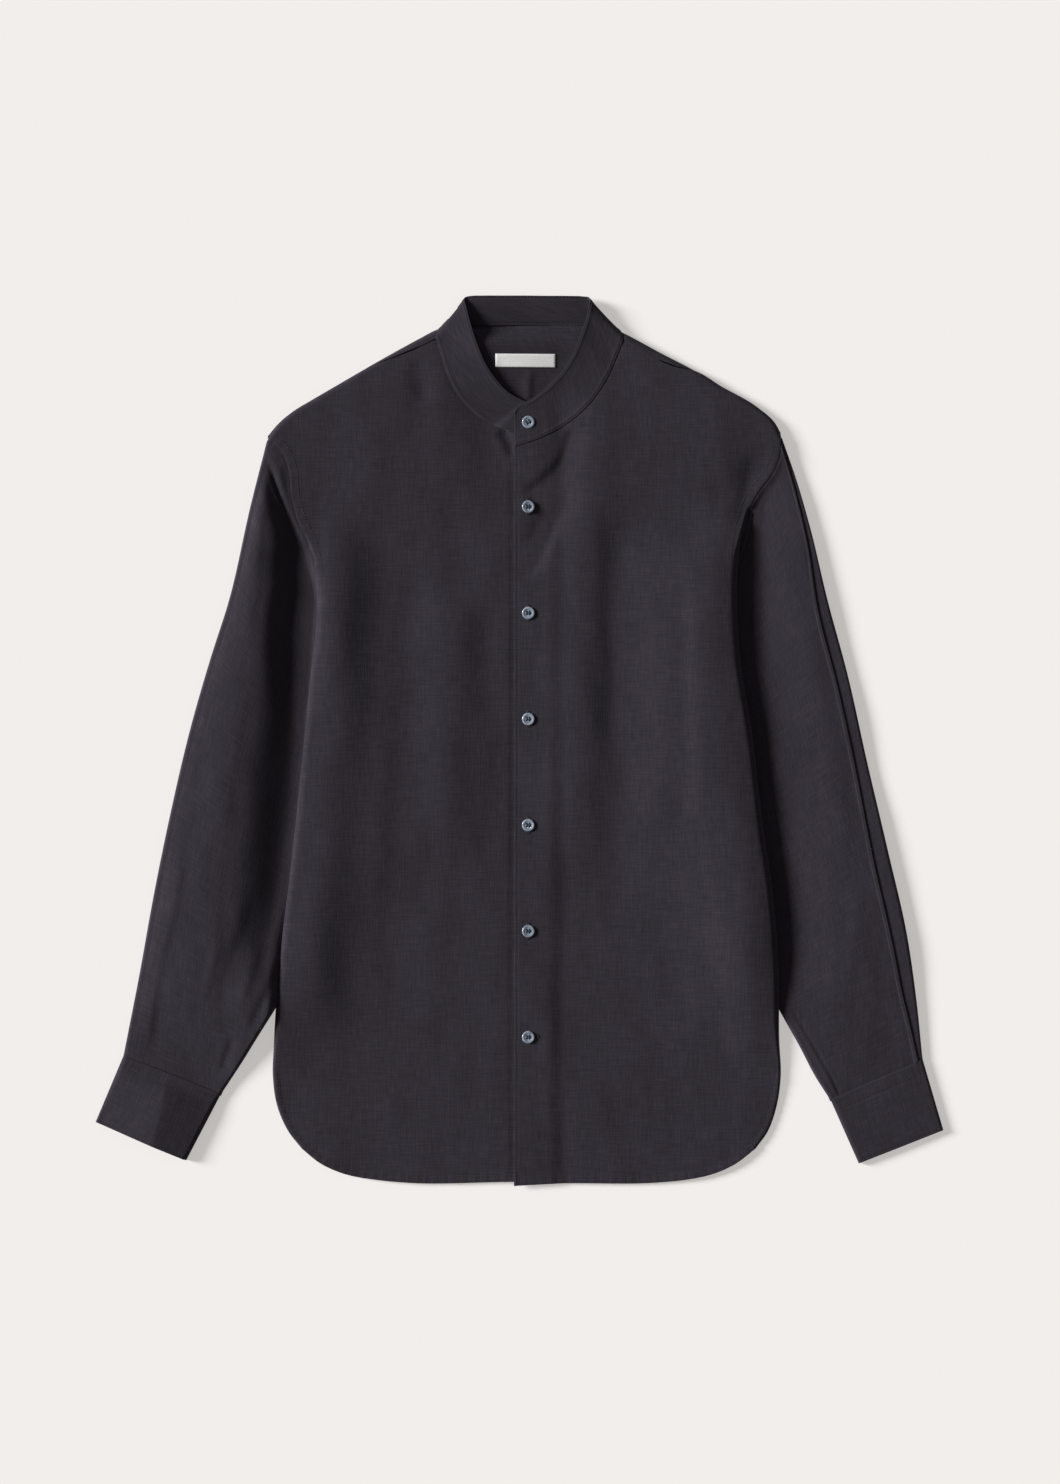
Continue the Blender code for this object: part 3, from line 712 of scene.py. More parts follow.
class Shader:
    """A Principled material under construction."""

    def __init__(self, name: str) -> None:
        """Starts the material with its Principled shader.

        Args:
            name: The material's name.
        """
        self.material = bpy.data.materials.new(name)
        self.material.use_nodes = True
        self.tree = self.material.node_tree
        self.surface = self.tree.nodes["Principled BSDF"]

    def set(self, **values: float | Colour) -> None:
        """Sets the shader's own sockets, with underscores for the spaces in their names."""
        for name, value in values.items():
            self.surface.inputs[name.replace("_", " ")].default_value = value

    def node(self, kind: str, **values: object) -> bpy.types.Node:
        """Adds a node.

        Args:
            kind: Its type.
            values: Its properties.

        Returns:
            The node.
        """
        made = self.tree.nodes.new(kind)
        for name, value in values.items():
            setattr(made, name, value)
        return made

    def where(self, kind: str) -> Socket:
        """The place on the surface: "UV" in the cloth's own flat coordinates, "Object" in the piece's."""
        return self.node("ShaderNodeTexCoord").outputs[kind]

    def link(self, start: Socket, end: Socket) -> None:
        """Joins an output to an input."""
        self.tree.links.new(start, end)

    def math(self, operation: str, a: Socket, b: Socket | float) -> Socket:
        """The result of a sum or product of a pattern with another, or with a number.

        Args:
            operation: ADD or MULTIPLY.
            a: The pattern.
            b: The other, or a number.

        Returns:
            The result.
        """
        made = self.node("ShaderNodeMath", operation=operation)
        self.link(a, made.inputs[0])
        if isinstance(b, (int, float)):
            made.inputs[1].default_value = b
        else:
            self.link(b, made.inputs[1])
        return made.outputs[0]

    def mix(self, *parts: tuple[Socket, float]) -> Socket:
        """A sum of patterns.

        Args:
            parts: Each pattern with the share that it is multiplied by.

        Returns:
            The sum.
        """
        shares = [self.math("MULTIPLY", pattern, share) for pattern, share in parts]
        total = shares[0]
        for share in shares[1:]:
            total = self.math("ADD", total, share)
        return total

    def noise(self, where: Socket, scale: tuple[float, float, float], detail: float = 2.0) -> Socket:
        """Noise in given coordinates.

        Args:
            where: The coordinates.
            scale: Features per metre along each axis.
            detail: How many finer layers it has.

        Returns:
            The pattern.
        """
        mapping = self.node("ShaderNodeMapping")
        mapping.inputs["Scale"].default_value = scale
        self.link(where, mapping.inputs["Vector"])
        made = self.node("ShaderNodeTexNoise")
        made.inputs["Scale"].default_value = 1.0
        made.inputs["Detail"].default_value = detail
        self.link(mapping.outputs["Vector"], made.inputs["Vector"])
        return made.outputs["Fac"]

    def paint(self, pattern: Socket, *stops: tuple[float, Colour]) -> None:
        """Colours the surface along a pattern's value.

        Args:
            pattern: The pattern.
            stops: Values with the colour at each, rising.
        """
        made = self.node("ShaderNodeValToRGB")
        ramp = made.color_ramp
        while len(ramp.elements) < len(stops):
            ramp.elements.new(0.5)
        for element, (position, colour) in zip(ramp.elements, stops, strict=True):
            element.position = position
            element.color = colour
        self.link(pattern, made.inputs["Fac"])
        self.link(made.outputs["Color"], self.surface.inputs["Base Color"])

    def bump(self, height: Socket, depth: float) -> None:
        """Gives the surface a fine relief of that depth in millimetres.

        Args:
            height: The pattern.
            depth: The depth.
        """
        made = self.node("ShaderNodeBump")
        made.inputs["Strength"].default_value = 1.0
        made.inputs["Distance"].default_value = depth * MM
        self.link(height, made.inputs["Height"])
        self.link(made.outputs["Normal"], self.surface.inputs["Normal"])


@dataclass(frozen=True)
class LinenFinish:
    """Plain-woven linen: uneven threads both ways, with slubs, in the cloth's own coordinates."""

    name: str
    deep: Colour
    middle: Colour
    pale: Colour
    threads_per_m: float = 1250.0
    thread_length_per_m: float = 75.0
    slubs_per_m: float = 620.0
    slub_length_per_m: float = 26.0
    relief: float = 0.12
    roughness: float = 0.88
    sheen: float = 0.10

    def material(self) -> Material:
        """The finish as a procedural material.

        Returns:
            The material.
        """
        shader = Shader(self.name)
        where = shader.where("UV")
        warp = shader.noise(where, (self.threads_per_m, self.thread_length_per_m, 1.0))
        weft = shader.noise(where, (self.thread_length_per_m, self.threads_per_m, 1.0))
        warp_slub = shader.noise(where, (self.slubs_per_m, self.slub_length_per_m, 1.0), 1.0)
        weft_slub = shader.noise(where, (self.slub_length_per_m, self.slubs_per_m, 1.0), 1.0)
        mottle = shader.noise(where, (28.0, 14.0, 1.0), 3.0)
        threads = shader.math("ADD", warp, weft)
        slubs = shader.math("ADD", warp_slub, weft_slub)
        value = shader.mix((threads, 0.5 * 0.56), (slubs, 0.5 * 0.26), (mottle, 0.18))
        shader.paint(value, (0.35, self.deep), (0.50, self.middle), (0.65, self.pale))
        shader.set(Roughness=self.roughness, Specular_IOR_Level=0.18, Sheen_Weight=self.sheen)
        shader.set(Sheen_Roughness=0.45, Sheen_Tint=(0.75, 0.78, 1.0, 1.0))
        shader.bump(shader.math("ADD", threads, shader.math("MULTIPLY", slubs, 0.6)), self.relief)
        return shader.material


@dataclass(frozen=True)
class ThreadFinish:
    """Twisted sewing thread."""

    name: str
    colour: Colour
    roughness: float = 0.6

    def material(self) -> Material:
        """The finish as a procedural material.

        Returns:
            The material.
        """
        shader = Shader(self.name)
        twist = shader.noise(shader.where("Object"), (2600.0, 2600.0, 2600.0), 1.0)
        deep = tuple(0.6 * c for c in self.colour[:3]) + (1.0,)
        pale = tuple(1.5 * c for c in self.colour[:3]) + (1.0,)
        shader.paint(twist, (0.3, deep), (0.7, pale))
        shader.set(Roughness=self.roughness, Specular_IOR_Level=0.3)
        shader.bump(twist, 0.05)
        return shader.material


@dataclass(frozen=True)
class ButtonFinish:
    """Polished blue-grey shell with faint cloudy layers."""

    name: str = "polished_button"
    deep: Colour = (0.115, 0.145, 0.195, 1.0)
    middle: Colour = (0.185, 0.225, 0.285, 1.0)
    pale: Colour = (0.30, 0.345, 0.41, 1.0)

    def material(self) -> Material:
        """The finish as a procedural material.

        Returns:
            The material.
        """
        shader = Shader(self.name)
        where = shader.where("Object")
        clouds = shader.noise(where, (340.0, 210.0, 340.0), 4.0)
        layers = shader.noise(where, (90.0, 900.0, 300.0), 2.0)
        value = shader.mix((clouds, 0.6), (layers, 0.4))
        shader.paint(value, (0.34, self.deep), (0.5, self.middle), (0.66, self.pale))
        shader.set(Roughness=0.24, Specular_IOR_Level=0.55, Coat_Weight=0.5, Coat_Roughness=0.08)
        shader.bump(layers, 0.02)
        return shader.material


@dataclass(frozen=True)
class LabelFinish:
    """A bare white label of close satin weave."""

    name: str = "bare_label"
    deep: Colour = (0.60, 0.60, 0.61, 1.0)
    pale: Colour = (0.84, 0.84, 0.83, 1.0)

    def material(self) -> Material:
        """The finish as a procedural material.

        Returns:
            The material.
        """
        shader = Shader(self.name)
        where = shader.where("UV")
        across = shader.noise(where, (60.0, 3200.0, 1.0))
        along = shader.noise(where, (2400.0, 300.0, 1.0))
        weave = shader.mix((across, 0.6), (along, 0.4))
        shader.paint(weave, (0.30, self.deep), (0.62, self.pale))
        shader.set(Roughness=0.6, Specular_IOR_Level=0.35, Sheen_Weight=0.15)
        shader.bump(weave, 0.05)
        return shader.material


@dataclass(frozen=True)
class FloorFinish:
    """A matt pale surface with faint speckle. A share of its brightness is its own glow: painted light that
    keeps the shadows cast on it pale.

    Attributes:
        glow: The share of its brightness that is its own, so that shadows on it stay light.
        grain: How much brighter the speckle is.
    """

    colour: Colour = (0.885, 0.866, 0.842, 1.0)
    glow: float = 0.5
    grain: float = 1.004

    def material(self) -> Material:
        """The finish as a procedural material.

        Returns:
            The material.
        """
        shader = Shader("pale_floor")
        lit = tuple(channel * (1.0 - self.glow) for channel in self.colour[:3])
        brighter = tuple(channel * self.grain for channel in lit)
        speckle = shader.noise(shader.where("Object"), (9.0, 9.0, 9.0))
        shader.paint(speckle, (0.3, (*lit, 1.0)), (0.7, (*brighter, 1.0)))
        shader.set(Roughness=0.95, Specular_IOR_Level=0.0)
        # The glow is painted light: an even emission that lightens the shadows falling on the floor
        shader.set(Emission_Color=self.colour, Emission_Strength=self.glow)
        return shader.material


NAVY_LINEN = LinenFinish(
    name="navy_linen",
    deep=(0.0126, 0.0101, 0.0150, 1.0),
    middle=(0.0227, 0.0187, 0.0266, 1.0),
    pale=(0.0372, 0.0308, 0.0426, 1.0),
)
NAVY_BAND = LinenFinish(
    name="navy_band_linen",
    deep=(0.0130, 0.0106, 0.0156, 1.0),
    middle=(0.0234, 0.0194, 0.0275, 1.0),
    pale=(0.0384, 0.0318, 0.0440, 1.0),
)
SEWING_THREAD = ThreadFinish("sewing_thread", (0.0225, 0.0190, 0.0265, 1.0))
DARK_THREAD = ThreadFinish("buttonhole_thread", (0.012, 0.010, 0.012, 1.0))


# ---- the shirt's outlines


@dataclass(frozen=True)
class Half:
    """One half of the shirt.

    Each row of a table is a point (distance outward from the centre line, y), except in seam_in, which gives
    how far the front seam lies in from the shoulder fold at a distance outward.
    """

    side_of: Side
    front_edge: Points
    neck: Points
    shoulder: Points
    seam_in: Points
    armhole: Points
    side: Points
    hem: Points
    sleeve_outer: Points
    sleeve_inner: Points
    cuff: Points

    @property
    def sign(self) -> int:
        """The sign of X on this half."""
        return self.side_of.value

    @property
    def underarm_y(self) -> float:
        """Where the side begins."""
        return self.side[0][1]

    def world(self, table: Points) -> Points:
        """A table with X signed for this half."""
        return tuple((x * self.sign, y) for x, y in table)

    def arm_line(self) -> Line:
        """The armhole, from the shoulder to the underarm."""
        return Line(self.world(self.armhole), 60)

    def over_sleeve(self, x: Array, y: Array, earlier: float = 0.0, run: float = LIFT_RUN) -> Array:
        """1 where the body lies on the tucked part of the sleeve, fading to 0 over the run beside it.

        Args:
            x: Places across.
            y: Places up.
            earlier: How much farther in it begins.
            run: How far it fades.

        Returns:
            The share at each place.
        """
        above = np.maximum(y - self.underarm_y, 0.0)
        below = np.maximum(SLEEVE_LEAVES_Y - y, 0.0)
        edge = x_at(self.sleeve_inner, y) + OUT_ABOVE_ARM * above + OUT_BELOW_SLEEVE * below
        return smoothstep((x * self.sign - edge + LIFT_AHEAD + earlier) / run)

    def seam_inset(self, x: Array) -> Array:
        """How far the front seam lies in from the shoulder fold, at world x on this half."""
        return looked_up(self.seam_in, x * self.sign)


LEFT = Half(
    side_of=Side.LEFT,
    front_edge=((PLACKET_EDGE, HEM_Y), (PLACKET_EDGE, CENTRE_TOP_Y)),
    neck=((PLACKET_EDGE, 267), (11, 272), (29, 279), (48, 291), (64.5, 306), (79, 327.5), (87, 346),
          (92.5, 360)),
    shoulder=((92.5, 360), (114, 349.5), (127.5, 341), (143.5, 335), (155, 333.5), (183, 318), (214, 300),
              (230, 285.5), (235, 275)),
    seam_in=((92.5, 6.1), (114, 5.5), (127.5, 6.6), (143.5, 4.6), (155, 0.5), (160, 0)),
    armhole=((235, 275), (233.5, 256), (225.5, 238.5), (216.5, 227), (206, 208), (199, 180), (196, 151)),
    side=((196, 151), (198.5, 74), (208.5, 10), (218.5, -73), (228, -139.5), (233, -206), (233.5, -267),
          (235, -303), (231, -330), (223, -352), (213, -366)),
    hem=((213, -366), (193, -381), (178, -388), (147, -395), (125.5, -397), (34, -398), (PLACKET_EDGE, -400)),
    sleeve_outer=((237, 274), (250, 235), (261.5, 193.5), (277, 127), (295, 60), (312, -16), (331.5, -99.5),
                  (348, -172), (357, -233), (362.5, -286)),
    sleeve_inner=((196, 151), (193, 120), (185, 80), (174, 35), (167, -10), (165, -55), (172, -100),
                  (186, -145), (205, -190), (233, -241), (250.5, -272), (266.5, -302.5), (279, -322)),
    cuff=((362.6, -286.2), (279.3, -321.8), (305.1, -379.8), (381.2, -349.8)),
)

RIGHT = Half(
    side_of=Side.RIGHT,
    front_edge=((-UNDER_EDGE, -396.5), (-UNDER_EDGE, 273.5)),
    neck=((-UNDER_EDGE, 273.5), (8.5, 279), (24, 285), (34, 290), (44.5, 299), (54.5, 309.5), (64.5, 327.5),
          (71.5, 350), (75, 360)),
    shoulder=((75, 360), (93, 352), (119, 342), (130, 338.5), (149, 328.5), (168, 317.5), (186, 307),
              (204, 296), (216.5, 285.5), (226.5, 272)),
    seam_in=((75, 8.6), (93, 7.2), (119, 3.3), (130, 1.0), (140, 0)),
    armhole=((226.5, 272), (213.5, 259), (207.5, 243), (205.5, 222), (200, 200), (188.5, 174), (183, 140)),
    side=((183, 140), (189.5, 44), (196, -22.5), (205.5, -112.5), (214, -182.5), (219, -239), (221, -274.5),
          (222, -300), (217.5, -330), (207.5, -352), (196.5, -366)),
    hem=((196.5, -366), (178, -380.5), (161.5, -388), (126.5, -395), (105, -397), (6, -396.5),
         (-UNDER_EDGE, -396.5)),
    sleeve_outer=((229, 272), (242.5, 212.5), (261, 127), (279, 70), (296, 10.5), (312.5, -59.5),
                  (327, -129.5), (341, -206), (356, -282.5)),
    sleeve_inner=((183, 140), (180, 110), (173, 70), (163, 25), (156, -20), (154, -62), (160, -105),
                  (174, -150), (193, -195), (219, -240), (233.5, -263), (250.5, -290.5), (268, -317)),
    cuff=((356, -282.6), (268.1, -316.8), (299.7, -377.1), (381.2, -342.5)),
)

# The yoke's fold line, and at distances across the share of it that rolls over the shoulder
YOKE_TOP: Points = (
    (-226.5, 273.5), (-217.5, 284.5), (-205.5, 294.5), (-184, 308), (-164.5, 319.5), (-119.5, 345.5),
    (-89.5, 362), (-75, 369.5), (-60, 374), (-46, 376), (7, 377), (61, 376), (80, 373), (93, 367),
    (127.5, 348.5), (155.5, 334), (183, 318), (214, 300), (230, 285.5), (235, 276.5),
)
YOKE_WRAP: Points = ((-77, 1.0), (-70, 0.5), (-57, 0.0), (76, 0.0), (88.5, 0.4), (98, 1.0))

# The height of its roll, and the low lip behind the neck. Its front edge stands a little proud of the front,
# stops a little short of it, and its lower edge laps over the back
YOKE_HEIGHT = 8.6
LIP_HEIGHT = 3.0
LIP_RADIUS = 2.0
LIP_ANGLE = 150.0
YOKE_PROUD = 0.25
YOKE_SHORT = 0.4
YOKE_LAP = 0.6


# ---- fronts


@dataclass(frozen=True)
class Front:
    """A front panel, from its centre edge to its side and from its hem to its shoulder.

    Attributes:
        crest: The height of the soft crest inside its side edge.
        crest_outer: How far the crest reaches toward the edge.
        crest_inner: How far it reaches toward the centre.
        rolls_above: How far above the underarm the side edge's roll begins.
        neck_tuck: How far its neck edge lies in under the band.
    """

    half: Half
    folds: tuple[Fold, ...]
    crumple: Crumple
    crest: float = 4.6
    crest_outer: float = 30.0
    crest_inner: float = 26.0
    rolls_above: float = 50.0
    step: float = 2.7
    neck_tuck: float = 3.4

    def tucked_neck(self) -> Points:
        """The neck edge, moved in under the band along its own normal except at its two ends.

        Returns:
            Points (distance outward, y).
        """
        share = np.linspace(0.0, 1.0, 15)
        line = through(self.half.neck, share)
        shift = self.neck_tuck * fading(share, 0.1, 0.08)
        return tuple(map(tuple, (line + leftward(line) * shift[:, None]).tolist()))

    def hem_line(self) -> Line:
        """The lower edge, from the centre round the shirt-tail to the end of the side seam."""
        half = self.half
        return Line(half.world(joined(flipped(half.hem), flipped(half.side[-4:]))), 160)

    def base(self, x: Array, y: Array) -> Array:
        """The outer face before its folds.

        It is low at the centre, risen over the sleeves and to the shoulders, with a soft crest inside the
        side edge.

        Args:
            x: Places across.
            y: Places up.

        Returns:
            The height at each place.
        """
        half = self.half
        top = smoothstep((y - SHOULDER_FROM_Y) / SHOULDER_RUN)
        off_centre = smoothstep((np.abs(x) - CENTRE_HALF_WIDTH) / CENTRE_RUN)
        z = FRONT_LOW + SHOULDER_RISE * top * (CENTRE_SHARE + (1.0 - CENTRE_SHARE) * off_centre)
        z = z + FRONT_OVER_SLEEVE * half.over_sleeve(x, y, FRONT_LIFTS_EARLIER, FRONT_RAMP) * (1.0 - top)
        inside = x_at(half.side, y) - x * half.sign
        below_arm = smoothstep((half.underarm_y + CREST_ABOVE_ARM - y) / CREST_ARM_RUN)
        full = smoothstep((y - CREST_FULL_FROM_Y) / CREST_RUN)
        crest = self.crest * below_arm * (CREST_SHARE_AT_HEM + (1.0 - CREST_SHARE_AT_HEM) * full)
        width = np.where(inside < SIDE_CREST_IN, self.crest_outer, self.crest_inner)
        return z + crest * bell((inside - SIDE_CREST_IN) / width)

    def height(self, x: Array, y: Array) -> Array:
        """The finished outer face at places (x, y).

        The base and folds, then the doubled hem with its stitched groove and puckers, the stitched edge at
        the centre, and last the rolls down at the side and over the shoulder.

        Args:
            x: Places across.
            y: Places up.

        Returns:
            The heights.
        """
        half = self.half
        z = self.base(x, y) + folded(self.folds, x, y) + self.crumple.at(x, y)
        z = np.maximum(z, LOWEST_FRONT)
        if half.side_of is Side.LEFT:
            z = z + OVERLAP_RISE * smoothstep((UNDER_EDGE + OVERLAP_RUN + OVERLAP_BEYOND - x) / OVERLAP_RUN)
            z = z + CENTRE_GROOVE.at(x - PLACKET_EDGE) + CENTRE_ROUND.at(x - PLACKET_EDGE)

        from_hem, along, _ = self.hem_line().measure(x, y)
        z = z + HEM_STEP * smoothstep(HEM_WIDTH - from_hem + 0.5)
        z = z + HEM_GROOVE.at(from_hem) + HEM_PUCKER.at(from_hem, along)

        from_arm, along, _ = half.arm_line().measure(x, y)
        uneven = 0.6 + 0.4 * np.sin(along / 21.0 + 1.0)
        z = z + uneven * ARMHOLE_PUCKER.at(from_arm, along) + ARMHOLE_GROOVE.at(from_arm)
        z = z + ALLOWANCE_STEP * smoothstep((ALLOWANCE - from_arm) / ALLOWANCE_RUN + 0.5)

        from_neck, _, _ = Line(half.world(half.neck), 60).measure(x, y)
        z = z + NECK_GROOVE.at(from_neck)

        from_side, _, _ = Line(half.world(joined(half.armhole[-3:], half.side)), 140).measure(x, y)
        edge = SIDE_EDGE_LOW + SIDE_EDGE_LIFT * half.over_sleeve(x, y)
        low = smoothstep((half.underarm_y + self.rolls_above - y) / SIDE_ROLL_FADE)
        radius = SIDE_ROLL_ON_FLOOR + (SIDE_ROLL - SIDE_ROLL_ON_FLOOR) * half.over_sleeve(x, y)
        z = z + (edge + (z - edge) * rolled(from_side, radius) - z) * low

        from_fold, _, _ = Line(half.world(half.shoulder), 80).measure(x, y)
        past_neck = smoothstep((x * half.sign - half.neck[-1][0]) / 6.0 + 1.0)
        z_top = 0.5 * z + 0.5 * z * rolled(from_fold + half.seam_inset(x), SHOULDER_ROLL)
        return z + (z_top - z) * past_neck

    def surface(self) -> Surface:
        """The panel as a patch between its four edges, with its height at each point.

        Returns:
            The outer face.
        """
        half = self.half
        bottom = flipped(half.hem)
        right = joined(flipped(half.side), flipped(half.armhole))
        across = steps(
            length_of(bottom),
            (0, 0.3, 0.6, 1.0, 1.5, 2.0, 2.4, 2.7, 3.0, 3.3, 3.7, 4.2, 5.0, 6.2, 8.0),
            (0, 0.15, 0.5, 1.0, 1.7, 2.5, 3.3, 4.0, 4.6, 5.1, 5.6, 6.2, 7.0, 8.2, 10.0),
            self.step,
        )
        up = steps(
            length_of(right),
            (0, 0.4, 1.0, 1.8, 2.8, 3.8, 4.4, 4.8, 5.2, 5.6, 6.0, 6.5, 7.2, 8.4, 10.2),
            (0, 0.15, 0.5, 1.0, 1.7, 2.5, 3.4, 4.5, 6.0, 8.0),
            self.step,
        )
        v, u = np.meshgrid(up, across, indexing="ij")
        xy = coons(bottom, joined(self.tucked_neck(), half.shoulder), half.front_edge, right, u, v)
        x, y = xy[..., 0] * half.sign, xy[..., 1]
        return Surface(np.stack([x, y, self.height(x, y)], axis=-1), np.stack([x, y], axis=-1))

    def place(self, x: Array, y: Array) -> tuple[Array, Array]:
        """Points and normals on the outer face at places (x, y), the slope from a difference over 0.4 mm.

        Args:
            x: Places across.
            y: Places up.

        Returns:
            The points and the unit normals.
        """
        reach = 0.4
        z = self.height(x, y)
        slope_x = (self.height(x + reach, y) - z) / reach
        slope_y = (self.height(x, y + reach) - z) / reach
        return np.stack([x, y, z], axis=-1), unit(np.stack([-slope_x, -slope_y, np.ones_like(z)], axis=-1))


LEFT_FRONT = Front(
    half=LEFT,
    folds=(
        Fold(((64, 244), (57, 130), (51, 20), (46, -90), (40, -150)), 4.3, 34, 26, 0.12, 0.3),
        Fold(((88, 205), (84, 90), (80, -40)), -1.3, 12, 12),
        Fold(((120, 235), (122, 60), (128, -170)), 2.0, 20, 24),
        Fold(((172, 320), (180, 270), (186, 215)), 1.0, 16, 34, 0.3, 0.3),
        Fold(((150, 160), (148, 40), (150, -90)), -0.7, 8, 8),
        Fold(((49, 283), (44, 270), (38.5, 252), (29, 240.5), (18, 231), (3, 222)), -1.5, 13, 4.2, 0.1, 0.12),
        Fold(((6, 264), (12, 245), (8, 228)), 0.7, 12, 14, 0.3, 0.3),
        Fold(((0, 222), (8, 198), (0, 172)), 1.8, 10, 14, 0.3, 0.3),
        Fold(((42, 217), (24, 184), (11, 161), (0, 144)), -3.0, 7, 26, 0.4, 0.2),
        Fold(((56, 214), (46, 188), (34, 158), (22, 132)), 0.5, 16, 16, 0.3, 0.3),
        Fold(((214, 268), (208, 240), (204, 219), (199, 190)), -2.0, 18, 8, 0.35, 0.15),
    ),
    crumple=Crumple(seed=11, height=0.26, shortest=16.0, longest=85.0, stretch=3.4),
    crest=9.2,
    crest_outer=42.0,
    crest_inner=46.0,
    rolls_above=74.0,
)

RIGHT_FRONT = Front(
    half=RIGHT,
    folds=(
        Fold(((-168, 245), (-171, 120), (-177, 10)), 1.8, 24, 10),
        Fold(((-138, 225), (-141, 140), (-146, 40)), -0.7, 20, 12),
        Fold(((-64, 150), (-68, 20), (-72, -140)), 4.2, 36, 28),
        Fold(((-118, 345), (-112, 300), (-104, 262)), 1.2, 24, 34, 0.3, 0.3),
        Fold(((-28, 140), (-30, 60), (-26, 0)), -1.2, 13, 13),
        Fold(((-118, 170), (-124, 20), (-130, -160)), 1.0, 15, 15),
        Fold(((-17, 281), (-10, 272), (-6.5, 264), (-5.6, 252)), -3.6, 3, 4.5, 0.2, 0.3),
        Fold(((-5.6, 262), (-5.6, 60), (-5.6, -140), (-5.6, -396)), -0.9, 2, 1.6, 0.05, 0.01),
        Fold(((-96, 345), (-88, 320), (-84, 300)), -1.2, 8, 8),
    ),
    crumple=Crumple(seed=23, height=0.26, shortest=16.0, longest=85.0, stretch=3.4),
)


# ---- back and yoke


@dataclass(frozen=True)
class Back:
    """The back panel: flat on the surface between the sleeves, and lying over their tucked parts.

    Attributes:
        inset: How far its sides and hem lie in from the fronts'.
        armhole_reach: How far its armhole edges run on into the sleeves.
        armhole_rise: How much they rise there.
    """

    inset: float = 1.0
    armhole_reach: float = 7.0
    armhole_rise: float = 1.5
    columns: int = 150
    rows: int = 190
    folds: tuple[Fold, ...] = (
        Fold(((-60, 190), (-52, 20), (-58, -160)), 0.7, 14, 18),
        Fold(((38, 210), (46, 40), (40, -120)), 0.8, 16, 13),
        Fold(((110, 120), (118, -40), (112, -210)), 0.6, 15, 18),
        Fold(((-120, 90), (-128, -60), (-118, -260)), 0.6, 13, 16),
        Fold(((0, -60), (4, -200), (-4, -330)), 0.5, 18, 14),
    )

    def edge(self, half: Half) -> Points:
        """One side, from the hem up to the yoke seam; along the armhole it runs into the sleeve.

        Args:
            half: The side.

        Returns:
            Points (x, y).
        """
        armhole = [(x + self.armhole_reach, y) for x, y in reversed(half.armhole) if y < YOKE_SEAM_Y]
        top_x = float(x_at(half.armhole, YOKE_SEAM_Y))
        points = list(reversed(half.side)) + armhole[1:] + [(top_x, YOKE_SEAM_Y)]
        return tuple(((x - self.inset) * half.sign, y) for x, y in points)

    def surface(self) -> Surface:
        """The panel as a patch between its edges; the height follows the sleeves under it.

        Returns:
            The outer face.
        """
        right_hem = tuple((-x, y + self.inset) for x, y in RIGHT.hem[:-1])
        left_hem = tuple((x, y + self.inset) for x, y in reversed(LEFT.hem[:-1]))
        hem = joined(right_hem, left_hem)
        left, right = self.edge(RIGHT), self.edge(LEFT)
        up, across = np.linspace(0, 1, self.rows + 1), np.linspace(0, 1, self.columns + 1)
        v, u = np.meshgrid(up, across, indexing="ij")
        xy = coons((left[0],) + hem[1:-1] + (right[0],), (left[-1], right[-1]), left, right, u, v)
        x, y = xy[..., 0], xy[..., 1]
        lift = np.where(x > 0, LEFT.over_sleeve(x, y), RIGHT.over_sleeve(x, y))
        z = BACK_OVER_SLEEVE * lift + folded(self.folds, x, y) * (1.0 - lift)
        past_arm = np.abs(x) - np.where(x > 0, x_at(LEFT.armhole, y), x_at(RIGHT.armhole, y))
        in_sleeve = smoothstep(past_arm / 2.0 + 1.0) * smoothstep((y - RIGHT.underarm_y) / TUCKED_FADE)
        z = z + self.armhole_rise * in_sleeve * (1.0 - lift)
        return Surface(np.stack([x, y, z], axis=-1), xy)


